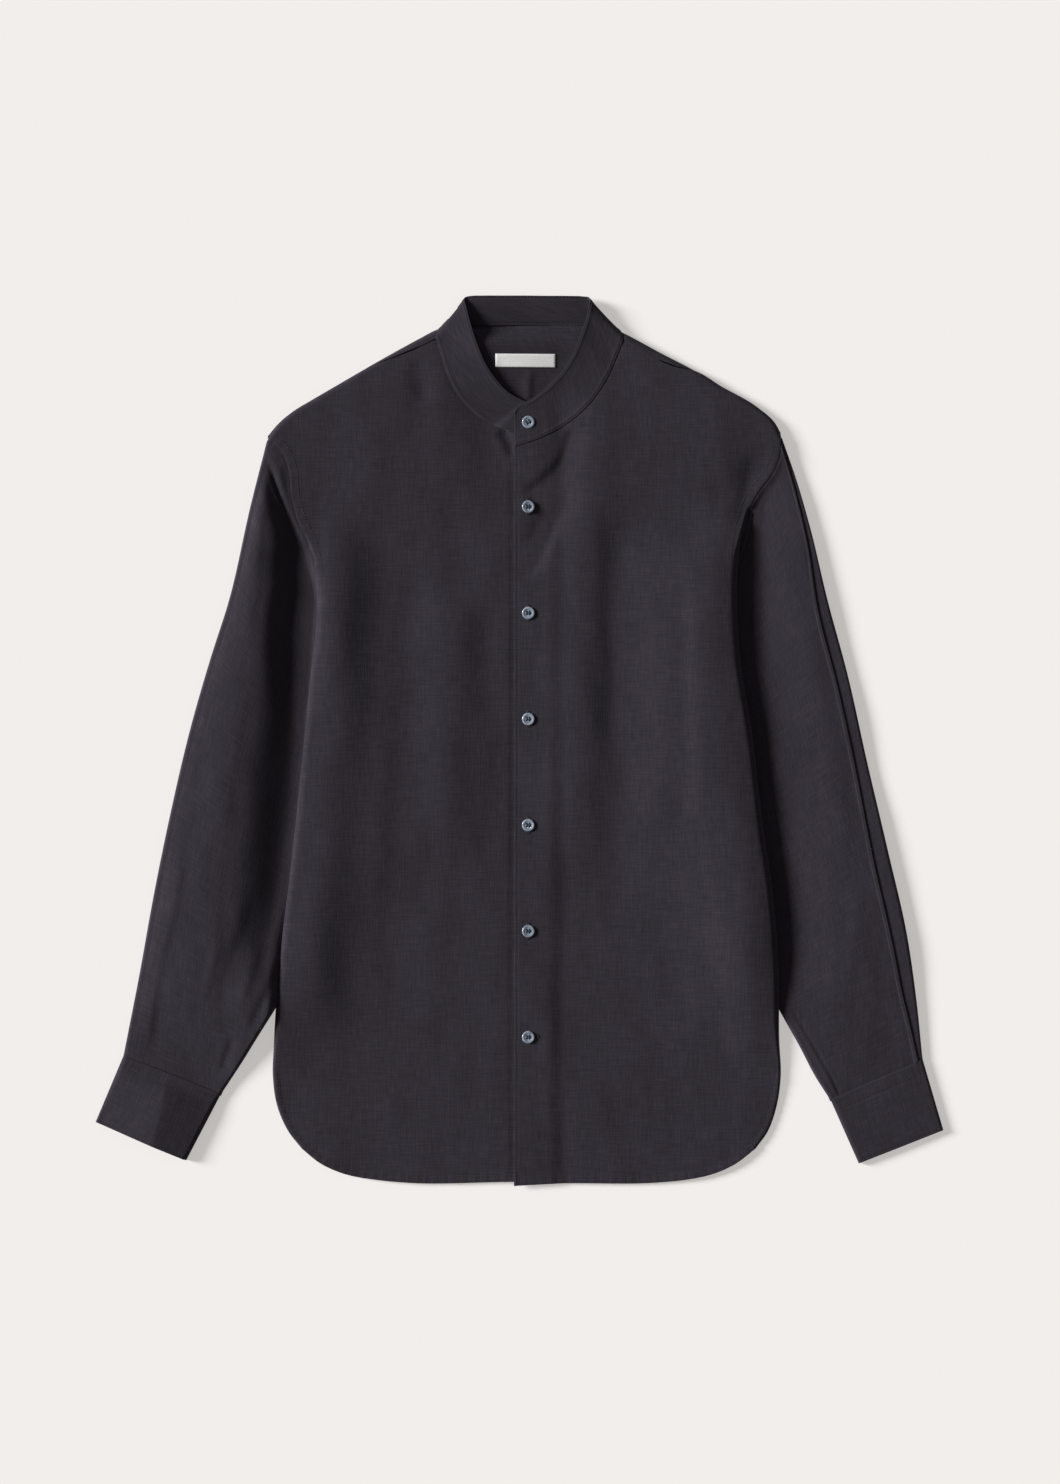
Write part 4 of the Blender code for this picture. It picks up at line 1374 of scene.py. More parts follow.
@dataclass(frozen=True)
class Yoke:
    """The yoke: from the front seams over the shoulder fold, and flat beneath to the yoke seam.

    Attributes:
        neck_edge: The band's inner edge on the wearer's right, that the rise is measured from.
        neck_rise: The height by that edge where it begins.
        neck_climb: The slope up along it toward the back.
        neck_highest: The most that it rises.
        neck_slope: The slope down from it toward the wearer's left.
        beyond: The share of the height lost on its other side, and over what distances.
        from_front: Where the rise begins up the neck, and over what distance it comes in.
        lift_rate: How fast the rise comes in down from the shoulder roll.
    """

    stations: int = 300
    roll_steps: int = 14
    flat_steps: int = 40
    neck_edge: Points = (
        (1.5, 307), (-10, 313.5), (-20.5, 324.5), (-29.5, 337.5), (-38, 357), (-44.6, 378), (-48, 391),
    )
    neck_rise: float = 2.1
    neck_climb: float = 0.13
    neck_highest: float = 8.8
    neck_slope: float = 0.092
    beyond: tuple[float, float, float] = (0.55, 6.0, 26.0)
    from_front: tuple[float, float] = (286.0, 22.0)
    lift_rate: float = 6.0
    inside_folds: tuple[Fold, ...] = (
        Fold(((10, 336), (8, 318), (8, 298)), 0.9, 3.5, 5),
        Fold(((48, 368), (54, 340), (44, 312)), 0.9, 8, 10),
        Fold(((70, 360), (72, 340), (62, 322)), 0.6, 5, 6),
    )

    def inside_height(self, x: Array, y: Array) -> Array:
        """The outer face under the neck, with a few soft folds.

        It climbs toward the back and the wearer's right, where the band lies close above it, and comes down
        to the surface under the fronts.

        Args:
            x: Places across.
            y: Places up.

        Returns:
            The heights.
        """
        edge = x_at(self.neck_edge, y)
        rise = np.clip(self.neck_rise + self.neck_climb * (y - self.neck_edge[0][1]), 0.0, self.neck_highest)
        plane = np.clip(rise - self.neck_slope * np.maximum(x - edge, 0.0), 0.0, None)
        lost, begins, run = self.beyond
        plane = plane * (1.0 - lost * smoothstep((edge - x - begins) / run))
        begins, run = self.from_front
        return plane * smoothstep((y - begins) / run) + folded(self.inside_folds, x, y)

    def surface(self) -> Surface:
        """Rows from the front seam round the shoulder roll and down the back.

        The roll is an arc about the fold line, from where the front seam meets it to the ground; behind the
        neck it stops at a low lip that the band stands behind.

        Returns:
            The outer face.
        """
        share = np.linspace(0.0, 1.0, self.stations + 1)
        line = through(YOKE_TOP, share)
        inward = -leftward(line)
        x = line[:, 0]

        wrap = smoothstep(looked_up(YOKE_WRAP, x))
        height = LIP_HEIGHT + (YOKE_HEIGHT - LIP_HEIGHT) * wrap
        radius = LIP_RADIUS + (SHOULDER_ROLL - LIP_RADIUS) * wrap
        depth = np.where(x > 0, LEFT.seam_inset(x), RIGHT.seam_inset(x)) - YOKE_SHORT
        on_roll = np.arcsin(np.clip(1.0 - depth / radius, 0.0, 1.0))
        start = np.radians(LIP_ANGLE) * (1 - wrap) + on_roll * wrap
        reach = np.clip(depth - radius, 0.0, None) * wrap

        rows = []
        before = [(left, 0.0) for left in (1.0, 0.65, 0.3)]
        for left, round_it in before + [(0.0, (k + 1) / self.roll_steps) for k in range(self.roll_steps)]:
            angle = start + (pi - start) * round_it
            in_by = radius - radius * np.sin(angle) + reach * left
            z = height / 2 * (1 + np.cos(angle)) + YOKE_PROUD * wrap * (1 - round_it)
            rows.append(np.column_stack([line + inward * in_by[:, None], z]))

        seam_ends = (1.0 - x_at(RIGHT.armhole, YOKE_SEAM_Y), x_at(LEFT.armhole, YOKE_SEAM_Y) - 1.0)
        seam_y = np.full_like(share, YOKE_SEAM_Y - YOKE_LAP)
        seam = np.stack([np.interp(share, (0, 1), seam_ends), seam_y], axis=1)
        base = rows[-1][:, :2]
        for step in range(1, self.flat_steps + 1):
            t = step / self.flat_steps
            flat = base * (1 - t) + seam * t
            lifted = self.inside_height(flat[:, 0], flat[:, 1]) * smoothstep(t * self.lift_rate)
            rows.append(np.column_stack([flat, lifted]))
        points = np.stack(rows, axis=0)
        return Surface(points, chord_cloth(points))


# ---- sleeves and cuffs


@dataclass(frozen=True)
class Sleeve:
    """A sleeve laid flat: rings from the armhole to the cuff, each a flattened tube with its base down.

    Attributes:
        crown: The height of its upper layer.
        valley: The hollow beside the body. Each row gives y, its depth as a share, and the distances from
            the body's edge at which it begins, reaches its floor, leaves its floor and ends.
        strip: The width of the lower strip outside the knife fold, as (share along, width); empty is none.
        step: How far that strip lies below the fold's top.
        strip_fall: How much lower the strip's outer edge is than its inner one, or higher if below 0.
        even_rise: How evenly it rises from the hollow's floor: 0 is an S curve and 1 a straight slope.
        arch: How far in from its outer edge the upper layer still climbs, at the armhole and at the cuff.
        arch_drop: How much lower the outer edge is than the crown.
        at_armhole: The upper layer's height by the armhole.
        at_cuff: Its height at the cuff.
        join_run: How far from the armhole the upper layer still takes the front's height.
        join_above: How far above the underarm it begins to take it.
        join_fade: Over what distance up from there it comes to take it whole.
        folds: The creases of the upper layer, in world coordinates.
    """

    half: Half
    crown: float
    valley: tuple[tuple[float, ...], ...]
    folds: tuple[Fold, ...]
    crumple: Crumple
    strip: Points = ()
    step: float = 2.0
    strip_fall: float = 0.0
    even_rise: float = 0.0
    arch: tuple[float, float] = (12.0, 12.0)
    arch_drop: float = 1.5
    rings: int = 230
    crown_columns: int = 58
    at_armhole: float = 8.2
    at_cuff: float = 5.6
    join_run: float = 6.0
    join_above: float = 24.0
    join_fade: float = 20.0

    def top(self, x: Array, y: Array, depth: Array, s: Array) -> Array:
        """The height of the upper layer.

        The crown, which changes to the armhole's and the cuff's heights at its ends, arches down to the
        outer edge and sinks to the tucked layer beside the body.

        Args:
            x: Outward distance of each point.
            y: Its place up.
            depth: Its distance in from the outer edge.
            s: Its share along the sleeve.

        Returns:
            The height of each point.
        """
        half = self.half
        edge = x_at(joined(half.armhole, half.side), y)
        clear_of_body = smoothstep((SLEEVE_LEAVES_Y - CLEAR_BELOW - y) / CLEAR_RUN)
        clear_of_body = clear_of_body * smoothstep(depth / CLEAR_IN)
        table = np.asarray(sorted(self.valley), float)
        places = np.clip(y, table[0, 0], table[-1, 0])
        read = through(table[:, 1:], places, table[:, 0])
        deep, begins, floor_from, floor_to, ends = np.moveaxis(read, -1, 0)
        out = x - edge
        rise = np.clip((ends - out) / (ends - floor_to), 0.0, 1.0)
        outer_flank = (1.0 - self.even_rise) * smoothstep(rise) ** FLANK_POWER + self.even_rise * rise
        body_side = 1.0 - smoothstep((out - floor_from) / np.maximum(floor_to - floor_from, 1.0))
        hollow = np.clip(deep, 0.0, 1.0) * smoothstep((out - begins) / (floor_from - begins)) * outer_flank
        risen = 1.0 - hollow * (1.0 - clear_of_body)

        by_armhole = smoothstep((y - half.underarm_y - BY_ARMHOLE) / BY_ARMHOLE)
        crown = self.crown + (self.at_armhole - self.crown) * by_armhole
        crown = crown + (self.at_cuff - crown) * smoothstep((s - 1.0 + BY_CUFF) / BY_CUFF)
        reach = self.arch[0] + (self.arch[1] - self.arch[0]) * s
        outer = np.clip(1.0 - depth / reach, 0.0, 1.0) ** 2
        crown = crown - self.arch_drop * outer * fading(s, 0.12, 0.15)
        crown = crown + (np.minimum(self.at_armhole, crown) - crown) * body_side
        z = VALLEY_FLOOR + (crown - VALLEY_FLOOR) * risen
        world_x = x * half.sign
        z = z + (folded(self.folds, world_x, y) + self.crumple.at(world_x, y)) * risen

        from_arm, _, _ = half.arm_line().measure(world_x, y)
        above = smoothstep((y - half.underarm_y - self.join_above) / self.join_fade)
        joins = (1.0 - smoothstep(from_arm / self.join_run)) * above
        front = LEFT_FRONT if half.side_of is Side.LEFT else RIGHT_FRONT
        z = z + (front.height(np.minimum(x, edge) * half.sign, y) - JOIN_BELOW - z) * joins

        tucked = smoothstep((edge + TUCKED_FROM - x) / TUCKED_RUN)
        tucked = tucked * smoothstep((half.underarm_y + TUCKED_ABOVE_ARM - y) / TUCKED_FADE)
        tucked = tucked * smoothstep((y - SLEEVE_LEAVES_Y + CLEAR_BELOW) / TUCKED_FADE)
        return np.maximum(z + (UNDER_BODY - z) * tucked, VALLEY_FLOOR)

    def surface(self) -> Surface:
        """The rings as a grid: columns go from the outer edge over the top and back beneath.

        Where there is a knife fold the columns run in along the strip, turn back under the upper layer and
        come round its pressed edge.

        Returns:
            The outer face.
        """
        half = self.half
        even = np.linspace(0.0, 1.0, self.rings + 1)
        # The rings lie closer together toward both ends
        s = even - RING_CLOSENESS * np.sin(2 * pi * even)
        outer = through(half.sleeve_outer, s)
        inner = through(half.sleeve_inner, s)
        width = np.linalg.norm(inner - outer, axis=1)
        direction = (inner - outer) / width[:, None]
        outer_roll = STRIP_ROLL if self.strip else SLEEVE_ROLL
        inner_roll = UNDER_BODY / 2
        run = length_of(outer) * s

        # The first rings slip under the armhole's edge and the last ones into the cuff
        tuck = 1.0 - smoothstep(run / SLIP_RUN)
        into_cuff = 1.0 - smoothstep((run[-1] - run) / SLIP_RUN)
        slip = np.asarray(ARMHOLE_SLIP) * tuck[:, None] + np.asarray(CUFF_SLIP) * into_cuff[:, None]
        bent = np.clip(1.0 - s / ARMHOLE_BLEND, 0.0, 1.0) ** 2
        columns: list[Array] = []

        def lay(depth: Array) -> Array:
            """The places of a line of points at a distance in from the outer edge, bent to the armhole."""
            f = np.clip(depth / width, 0.0, 1.0)
            straight = outer[0] * (1 - f[:, None]) + inner[0] * f[:, None]
            bend = through(half.armhole, f) - straight
            return outer + direction * depth[:, None] + bent[:, None] * bend + slip

        def on_top(depth: Array) -> Array:
            """A line of points on the upper layer."""
            xy = lay(depth)
            z = self.top(xy[:, 0], xy[:, 1], np.maximum(depth, outer_roll), s)
            return np.column_stack([xy, z - SLIP_SINK[0] * tuck - SLIP_SINK[1] * into_cuff])

        def put(depth: Array | float, z: Array | float) -> None:
            """Adds a line of points at a distance in from the outer edge and a height."""
            columns.append(np.column_stack([lay(depth + 0.0 * s), z + 0.0 * s]))

        def roll(z: Array, angles: Array) -> None:
            """Adds the lines of the outer edge's roll up to a height, at angles from its base."""
            for angle in angles * pi:
                put(outer_roll * (1 - np.sin(angle)), z * 0.5 * (1 + np.cos(angle)))

        if self.strip:
            strip = through(self.strip, s, np.asarray(self.strip)[:, 0])[:, 1]
            lip = LIP * smoothstep(s / LIP_FADE)
            fold_top = on_top(strip)[:, 2] + lip
            strip_z = fold_top - self.step
            fall = self.strip_fall * fading(s, FALL_FADE, FALL_FADE)
            roll(strip_z - fall, np.linspace(0.92, 0.22, 9))
            for t in np.linspace(0.0, 1.0, 7):
                put(outer_roll + (strip + TURN_IN - outer_roll) * t, strip_z - fall * (1.0 - t))
            put(strip + TURN_IN + 0.2, strip_z + TURN_THICK / 2)
            for t in np.linspace(0.0, 1.0, 4):
                put(strip + TURN_IN + (TURN_OUT - TURN_IN) * t, strip_z + TURN_THICK)
            turn = (fold_top - strip_z - TURN_THICK) / 2
            for angle in np.linspace(0.2, 0.86, 6) * pi:
                z = strip_z + TURN_THICK + turn * (1 - np.cos(angle))
                put(strip + TURN_OUT - EDGE_BULGE * np.sin(angle), z)
            crown_start = strip + EDGE_UNDER
        else:
            crown_start = np.full_like(s, outer_roll)
            roll(on_top(crown_start)[:, 2], np.r_[np.linspace(0.92, 0.5, 8), np.linspace(0.42, 0.12, 4)])
        for t in np.linspace(0.0, 1.0, self.crown_columns):
            line = on_top(crown_start + (width - crown_start - inner_roll) * t)
            if self.strip:
                line[:, 2] += lip * bell(t * width / LIP_RUN)
            else:
                line[:, 2] *= 1.0 - OUTER_DIP * bell(t * width / OUTER_DIP_RUN)
            columns.append(line)
        for angle in np.array([0.3, 0.5, 0.7]) * pi:
            put(width - inner_roll + inner_roll * np.sin(angle), inner_roll * (1 + np.cos(angle)))
        for t in np.linspace(0.0, 1.0, 18):
            under = SLIP_LIFT[0] * tuck + SLIP_LIFT[1] * into_cuff
            put((width - inner_roll) * (1 - t) + outer_roll * t, under)
        points = np.stack(columns, axis=1)
        points[..., 0] *= half.sign
        return Surface(points, chord_cloth(points, True), True)


LEFT_SLEEVE = Sleeve(
    half=LEFT,
    crown=7.9,
    even_rise=0.8,
    strip_fall=-0.2,
    valley=(
        (262, 0.0, 0, 3, 5, 20), (240, 0.3, -1, 2, 8, 30), (215, 0.8, -3, 1, 12, 42),
        (190, 1.0, -5, -1, 16, 52), (150, 1.0, -7, -3, 20, 62), (100, 1.0, -9, -5, 20, 76),
        (0, 1.0, -9, -5, 15, 84), (-100, 1.0, -9, -5, 15, 88), (-190, 0.9, -9, -5, 13, 66),
        (-241, 0.4, -9, -5, 12, 60),
    ),
    step=0.9,
    strip=((0.0, 6.5), (0.08, 7.4), (0.17, 8.6), (0.27, 12.6), (0.38, 12.6), (0.51, 12.4), (0.68, 15.6),
           (0.81, 15.2), (0.88, 13.2), (0.94, 9.0), (1.0, 4.6)),
    arch=(36.0, 40.0),
    arch_drop=1.5,
    folds=(
        Fold(((246, 160), (262, 60), (282, -60), (300, -160)), 0.8, 12, 16),
        Fold(((268, 110), (290, 10), (310, -100)), -0.6, 9, 9),
        Fold(((250, -60), (262, -140), (280, -220)), 0.7, 12, 12),
        Fold(((222, 214), (218, 190), (222, 160)), -0.8, 5, 6),
        Fold(((243, -237), (259, -265), (278, -298.5), (287, -317)), -0.7, 0.9, 0.9, 0.1, 0.02),
        Fold(((240.5, -238), (256.5, -266), (275.5, -299.5), (285, -318)), 0.6, 1.2, 1.2, 0.1, 0.02),
    ),
    crumple=Crumple(seed=31, height=0.30, shortest=16.0, longest=70.0),
)

RIGHT_SLEEVE = Sleeve(
    half=RIGHT,
    crown=17.0,
    even_rise=0.3,
    join_run=11.0,
    join_above=4.0,
    join_fade=44.0,
    valley=(
        (265, 0.0, 12, 18, 19, 30), (240, 0.25, 8, 16, 17, 29), (214, 0.6, 2, 11, 12, 33),
        (190, 1.0, -3, 6, 8, 37), (163, 1.0, -4, 6, 15, 48), (132, 1.0, -6, 2, 19, 52),
        (112, 1.0, -12, -4, 21, 55), (60, 1.0, -14, -6, 17, 53), (0, 1.0, -14, -6, 9, 60),
        (-100, 1.0, -14, -6, 8, 64), (-150, 0.85, -12, -5, 8, 60), (-190, 0.5, -12, -5, 8, 58),
        (-215, 0.25, -12, -5, 8, 56), (-241, 0.1, -12, -5, 8, 54),
    ),
    arch=(10.0, 80.0),
    arch_drop=6.5,
    folds=(
        Fold(((-304, -70), (-309, -140), (-321, -189), (-328.5, -228), (-336, -278)), 1.2, 4.5, 14, 0.3, 0.1),
        Fold(((-236, -124), (-242, -164), (-259, -205), (-264, -239), (-261, -277)), -1.5, 12, 8, 0.25, 0.15),
        Fold(((-214, -191), (-220, -213), (-232, -239), (-244, -265)), -1.3, 5, 4, 0.25, 0.25),
        Fold(((-232, -179), (-243, -213), (-251, -240)), 0.7, 4, 5, 0.3, 0.3),
        Fold(((-268, -170), (-276, -205), (-286, -240)), 0.5, 4, 5, 0.3, 0.3),
        Fold(((-256, -262), (-262, -282), (-268, -300)), -1.2, 6, 4, 0.3, 0.3),
    ),
    crumple=Crumple(seed=47, height=0.35, shortest=16.0, longest=70.0),
)


@dataclass(frozen=True)
class Cuff:
    """A cuff: a flattened, closed tube between the sleeve's end and its own free edge.

    Attributes:
        height: Its height at the seam.
        crest_at: The place across of its crest, as a share, at the seam and at the free edge.
        crest: The crest's height.
        crest_width: How far it reaches, as a share of the width.
        crest_round: How rounded its top is.
        crest_at_seam: The share of its height at the seam.
        taper: How much flatter the cuff is at its free edge, as a share.
        stitch_from_seam: How far one stitch row lies from the seam.
        stitch_from_end: How far the other lies from the free edge.
    """

    half: Half
    height: float = 5.7
    crest_at: tuple[float, float] = (0.45, 0.45)
    crest: float = 0.6
    crest_width: float = 0.45
    crest_round: float = 0.03
    crest_at_seam: float = 0.2
    taper: float = 0.08
    across: int = 66
    stitch_from_seam: float = 11.0
    stitch_from_end: float = 2.2

    def corners(self) -> list[Array]:
        """Its four corners: outer and inner at the seam, inner and outer at the free edge."""
        return [np.asarray(corner, float) for corner in self.half.cuff]

    def length(self) -> float:
        """Its length along the arm."""
        outer_top, inner_top, inner_end, outer_end = self.corners()
        return float(np.linalg.norm(inner_end + outer_end - outer_top - inner_top)) / 2

    def surface(self) -> Surface:
        """Rings from the seam to the free edge: half rounds at both sides, a crested top and a flat base.

        Both ends are pressed a little flatter, and each stitch row lies in a shallow groove.

        Returns:
            The outer face.
        """
        outer_top, inner_top, inner_end, outer_end = self.corners()
        length = self.length()
        angles = np.linspace(0.0, pi, 13)[1:-1]
        shares = np.linspace(0.0, 1.0, self.across)
        down = steps(length, (0, 0.3, 0.7, 1.2, 2.0, 3.2), (0, 0.3, 0.7, 1.1, 1.6, 2.0, 2.4, 2.9, 3.6), 1.7)
        surface = []
        for t in down:
            outer = outer_top * (1 - t) + outer_end * t
            inner = inner_top * (1 - t) + inner_end * t
            wide = np.linalg.norm(inner - outer)
            from_seam, from_end = t * length, (1 - t) * length
            height = self.height * (1 - self.taper * t)
            radius = height / 2
            flat = wide - 2 * radius
            rolled_in = radius * (1 - np.sin(angles))
            side_z = radius * (1 + np.cos(angles))
            crest_at = self.crest_at[0] * (1 - t) + self.crest_at[1] * t
            from_crest = np.hypot(shares - crest_at, self.crest_round)
            crest = self.crest * np.clip(1.0 - from_crest / self.crest_width, 0.0, 1.0)
            crest = crest * (self.crest_at_seam + (1.0 - self.crest_at_seam) * smoothstep(t / 0.35))
            pressed = CUFF_END.at(from_seam) + CUFF_END.at(from_end)
            grooves = Groove(0.3, 0.9, self.stitch_from_seam).at(from_seam)
            grooves = grooves + Groove(0.3, 0.7, self.stitch_from_end).at(from_end)
            top = height + crest + pressed + grooves
            base = np.linspace(0.0, 1.0, 14)
            depth = np.concatenate([rolled_in[::-1], radius + flat * shares, wide - rolled_in,
                                    wide - radius - flat * base])
            z = np.concatenate([side_z[::-1], top, side_z, np.zeros(len(base))])
            ring = outer + (inner - outer) / wide * depth[:, None]
            surface.append(np.column_stack([ring[:, 0] * self.half.sign, ring[:, 1], z]))
        points = np.stack(surface, axis=0)
        return Surface(points, chord_cloth(points, True), True)


LEFT_CUFF = Cuff(half=LEFT, crest_at=(0.6, 0.55), crest=0.8, crest_width=0.6, crest_round=0.15)
RIGHT_CUFF = Cuff(half=RIGHT, crest_at=(0.47, 0.64), crest=7.4, crest_width=0.60, crest_round=0.02)


# ---- band


@dataclass(frozen=True)
class Band:
    """The collar band, from its left end over the buttons, round the neck to its right end under them.

    Attributes:
        sections: Its sections in turn: the seam point and the top-edge point of its outer face.
        bulge: How far its face stands out in the middle.
        stitch_in: How far the grooves lie in from its long edges.
        row_in: How far the lower stitch row lies in from the seam.
        groove: The depth of the grooves.
        reach: How far its lower edge runs on under the seam line, into the fronts.
        over_front: The height of its lower edge over the fronts, or under them if below 0.
        lean: The share of the top edge's height that is kept, as the band leans outward.
        tall: Its height, for spacing the rows of its grid.
    """

    sections: tuple[tuple[float, ...], ...] = (
        (-4.6, 268.5, 6.9, -4.6, 296.0, 8.6), (-1.0, 269.5, 6.9, -2.6, 300.5, 8.8),
        (10.5, 273.2, 7.0, 6.5, 305.0, 9.2), (27.5, 280.5, 7.4, 22.0, 315.5, 10.6),
        (46.5, 292.5, 7.9, 36.5, 329.5, 12.4), (62.5, 307.5, 8.4, 47.0, 345.5, 14.0),
        (76.5, 328.5, 8.7, 55.0, 365.0, 15.4), (84.5, 346.8, 8.8, 60.5, 381.5, 16.4),
        (89.6, 360.6, 8.8, 62.2, 391.0, 17.2), (90.6, 365.2, 7.6, 63.0, 394.8, 16.2),
        (89.8, 368.6, 4.6, 62.3, 397.4, 13.4), (85.8, 372.2, 2.4, 60.2, 398.8, 11.8),
        (76.0, 375.0, 1.3, 55.5, 399.6, 12.4), (58.0, 377.0, 1.0, 44.0, 399.8, 14.6),
        (30.0, 377.7, 1.0, 24.0, 399.8, 15.8), (7.0, 377.9, 1.6, 7.0, 400.0, 15.6),
        (-20.0, 377.5, 2.8, -16.0, 400.0, 15.0), (-42.0, 376.9, 4.2, -34.0, 400.0, 14.4),
        (-57.0, 375.2, 5.2, -42.0, 399.8, 13.6), (-67.0, 373.2, 5.8, -46.6, 399.0, 13.0),
        (-71.6, 370.6, 6.6, -48.6, 397.4, 13.6), (-73.0, 366.8, 7.8, -49.0, 395.0, 14.4),
        (-71.6, 360.8, 8.6, -48.0, 391.5, 14.8), (-68.4, 350.2, 8.8, -44.6, 378.0, 14.8),
        (-61.6, 329.5, 8.6, -38.0, 357.0, 14.8), (-52.0, 312.0, 8.2, -29.5, 337.5, 12.4),
        (-42.6, 301.5, 7.4, -20.5, 324.5, 9.8), (-32.6, 292.6, 6.4, -10.0, 313.5, 7.4),
        (-23.0, 287.6, 5.4, 1.5, 307.0, 6.4), (-8.2, 281.8, 4.9, 9.5, 304.5, 6.0),
        (6.0, 278.6, 4.8, 15.5, 304.5, 5.9), (18.5, 277.0, 4.8, 20.5, 303.0, 5.8),
    )
    stations: int = 300
    bulge: float = 0.7
    stitch_in: float = 2.3
    row_in: float = 4.5
    groove: float = 0.28
    reach: float = 3.8
    over_front: float = -0.5
    lean: float = 0.5
    tall: float = 32.0

    def seated(self, seam: Array) -> Array:
        """The seam line set down on the fronts: left of the centre on one, right of it on the other.

        Args:
            seam: The seam line's points.

        Returns:
            The points at the height of the front beneath, except behind the neck and under the overlap.
        """
        x, y, z = seam.T
        before = np.arange(len(seam)) < len(seam) / 2
        front = np.where(before, LEFT_FRONT.height(x, y), RIGHT_FRONT.height(x, y)) + self.over_front
        share = np.where(before, 1.0, smoothstep((-x - 16.0) / 8.0)) * smoothstep((362.0 - y) / 8.0)
        return np.stack([x, y, z + (front - z) * share], axis=1)

    def surface(self) -> Surface:
        """Lines from the seam to the top edge, smooth from section to section and a little convex.

        Rows are levels and columns stations; the bulge is a half sine of the level along the normal.

        Returns:
            The outer face.
        """
        table = np.asarray(self.sections, float)
        low, high = table[:, :3].copy(), table[:, 3:].copy()
        high[:, 2] = low[:, 2] + (high[:, 2] - low[:, 2]) * self.lean
        low[:, :2] += self.reach * unit(low[:, :2] - high[:, :2])
        chord = np.linalg.norm(np.diff(low, axis=0), axis=1) + np.linalg.norm(np.diff(high, axis=0), axis=1)
        knots = np.concatenate([[0.0], np.cumsum(chord)])
        knots = knots / knots[-1]
        share = np.linspace(0.0, 1.0, self.stations + 1)
        seam = self.seated(through(low, share, knots))[None]
        edge = through(high, share, knots)[None]
        near_seam, near_top = (0, 0.4, 1.2, 1.8, 2.3, 2.8, 3.6), (0, 0.4, 1.0, 1.6, 2.0, 2.4, 2.9, 3.8)
        level = steps(self.tall, near_seam, near_top, 1.9)[:, None, None]
        flat = seam * (1 - level) + edge * level
        normal = Surface(flat, flat[..., :2]).normals()
        channel = Groove(self.groove, 0.6, self.stitch_in)
        sunk = channel.at((1 - level) * self.tall) + channel.at(level * self.tall)
        points = flat - normal * (self.bulge * np.sin(pi * level) + sunk)
        return Surface(points, chord_cloth(points))


# ---- sewing


@dataclass(frozen=True)
class Stitch:
    """One machine stitch lying on the cloth: a flattened spindle, repeated along a row."""

    length: float = 2.3
    pitch: float = 2.9
    width: float = 0.55
    thick: float = 0.42
    rise: float = 0.05

    def spindle(self) -> tuple[Array, list[Array]]:
        """The stitch on its own: three rings of six points and a point at each end, half a unit at most.

        Returns:
            Its points, and its faces as arrays of corner numbers.
        """
        turn = np.arange(6) * pi / 3
        ring = np.stack([np.zeros(6), 0.5 * np.cos(turn), 0.5 * np.sin(turn)], axis=1)
        places = ((-0.36, 0.8), (0.0, 1.0), (0.36, 0.8))
        rings = [ring * (1.0, size, size) + (at, 0.0, 0.0) for at, size in places]
        points = np.concatenate([*rings, [(-0.5, 0.0, 0.0), (0.5, 0.0, 0.0)]])
        k = np.arange(6)
        after = (k + 1) % 6
        quads = [np.stack([k + a, after + a, after + a + 6, k + a + 6], axis=1) for a in (0, 6)]
        start = np.stack([np.full(6, 18), after, k], axis=1)
        end = np.stack([np.full(6, 19), k + 12, after + 12], axis=1)
        return points, [np.concatenate(quads), np.concatenate([start, end])]

    def row(self, path: Array, normal: Array) -> Array:
        """Stitches along a path on the cloth.

        Args:
            path: Points on the cloth's outer face, close together.
            normal: The cloth's unit normal at each.

        Returns:
            (stitches, 20, 3), each stitch's points in place.
        """
        run = run_along(path)
        at = np.arange(self.pitch / 2, run[-1] - self.pitch / 2, self.pitch)
        centre = read_along(path, run, at)
        ahead = unit(read_along(path, run, at + 0.5) - centre)
        up = read_along(normal, run, at)
        up = unit(up - (up * ahead).sum(axis=1, keepdims=True) * ahead)
        side = np.cross(up, ahead)
        shape = self.spindle()[0]
        return (
            (centre + up * self.rise)[:, None]
            + ahead[:, None] * (shape[None, :, :1] * self.length)
            + side[:, None] * (shape[None, :, 1:2] * self.width)
            + up[:, None] * (shape[None, :, 2:] * self.thick)
        )

    def sewn(self, name: str, rows: Rows, material: Material) -> Object:
        """Rows of stitches as one piece.

        Args:
            name: The piece's name.
            rows: The path and the normals of each row.
            material: The thread.

        Returns:
            The finished object.
        """
        placed = np.concatenate([self.row(path, normal) for path, normal in rows])
        shift = (np.arange(len(placed)) * placed.shape[1])[:, None, None]
        faces = [(f[None] + shift).reshape(-1, f.shape[1]) for f in self.spindle()[1]]
        return show(name, mesh_of(name, placed.reshape(-1, 3), faces), material)


def front_rows(front: Front) -> Rows:
    """The stitch rows of a front: along its hem, beside its armhole and on the left by its centre edge.

    Args:
        front: The front.

    Returns:
        Each row's points and normals.
    """
    half = front.half
    hem = front.hem_line().path()
    hem_row = (hem + leftward(hem) * half.sign * HEM_STITCH_IN)[2:-2]
    if half.side_of is Side.RIGHT:
        hem_row = hem_row[hem_row[:, 0] < PLACKET_EDGE - 1.0]
    arm = half.arm_line().path()
    arm_row = (arm - leftward(arm) * half.sign * ARMHOLE_STITCH_IN)[4:-3]
    rows = [front.place(line[:, 0], line[:, 1]) for line in (hem_row, arm_row)]
    if half.side_of is Side.LEFT:
        y = np.linspace(HEM_Y + HEM_WIDTH, CENTRE_TOP_Y - 1.5, 400)
        rows.append(front.place(np.full_like(y, PLACKET_EDGE + EDGE_STITCH_IN), y))
    return rows


# ---- label and buttons


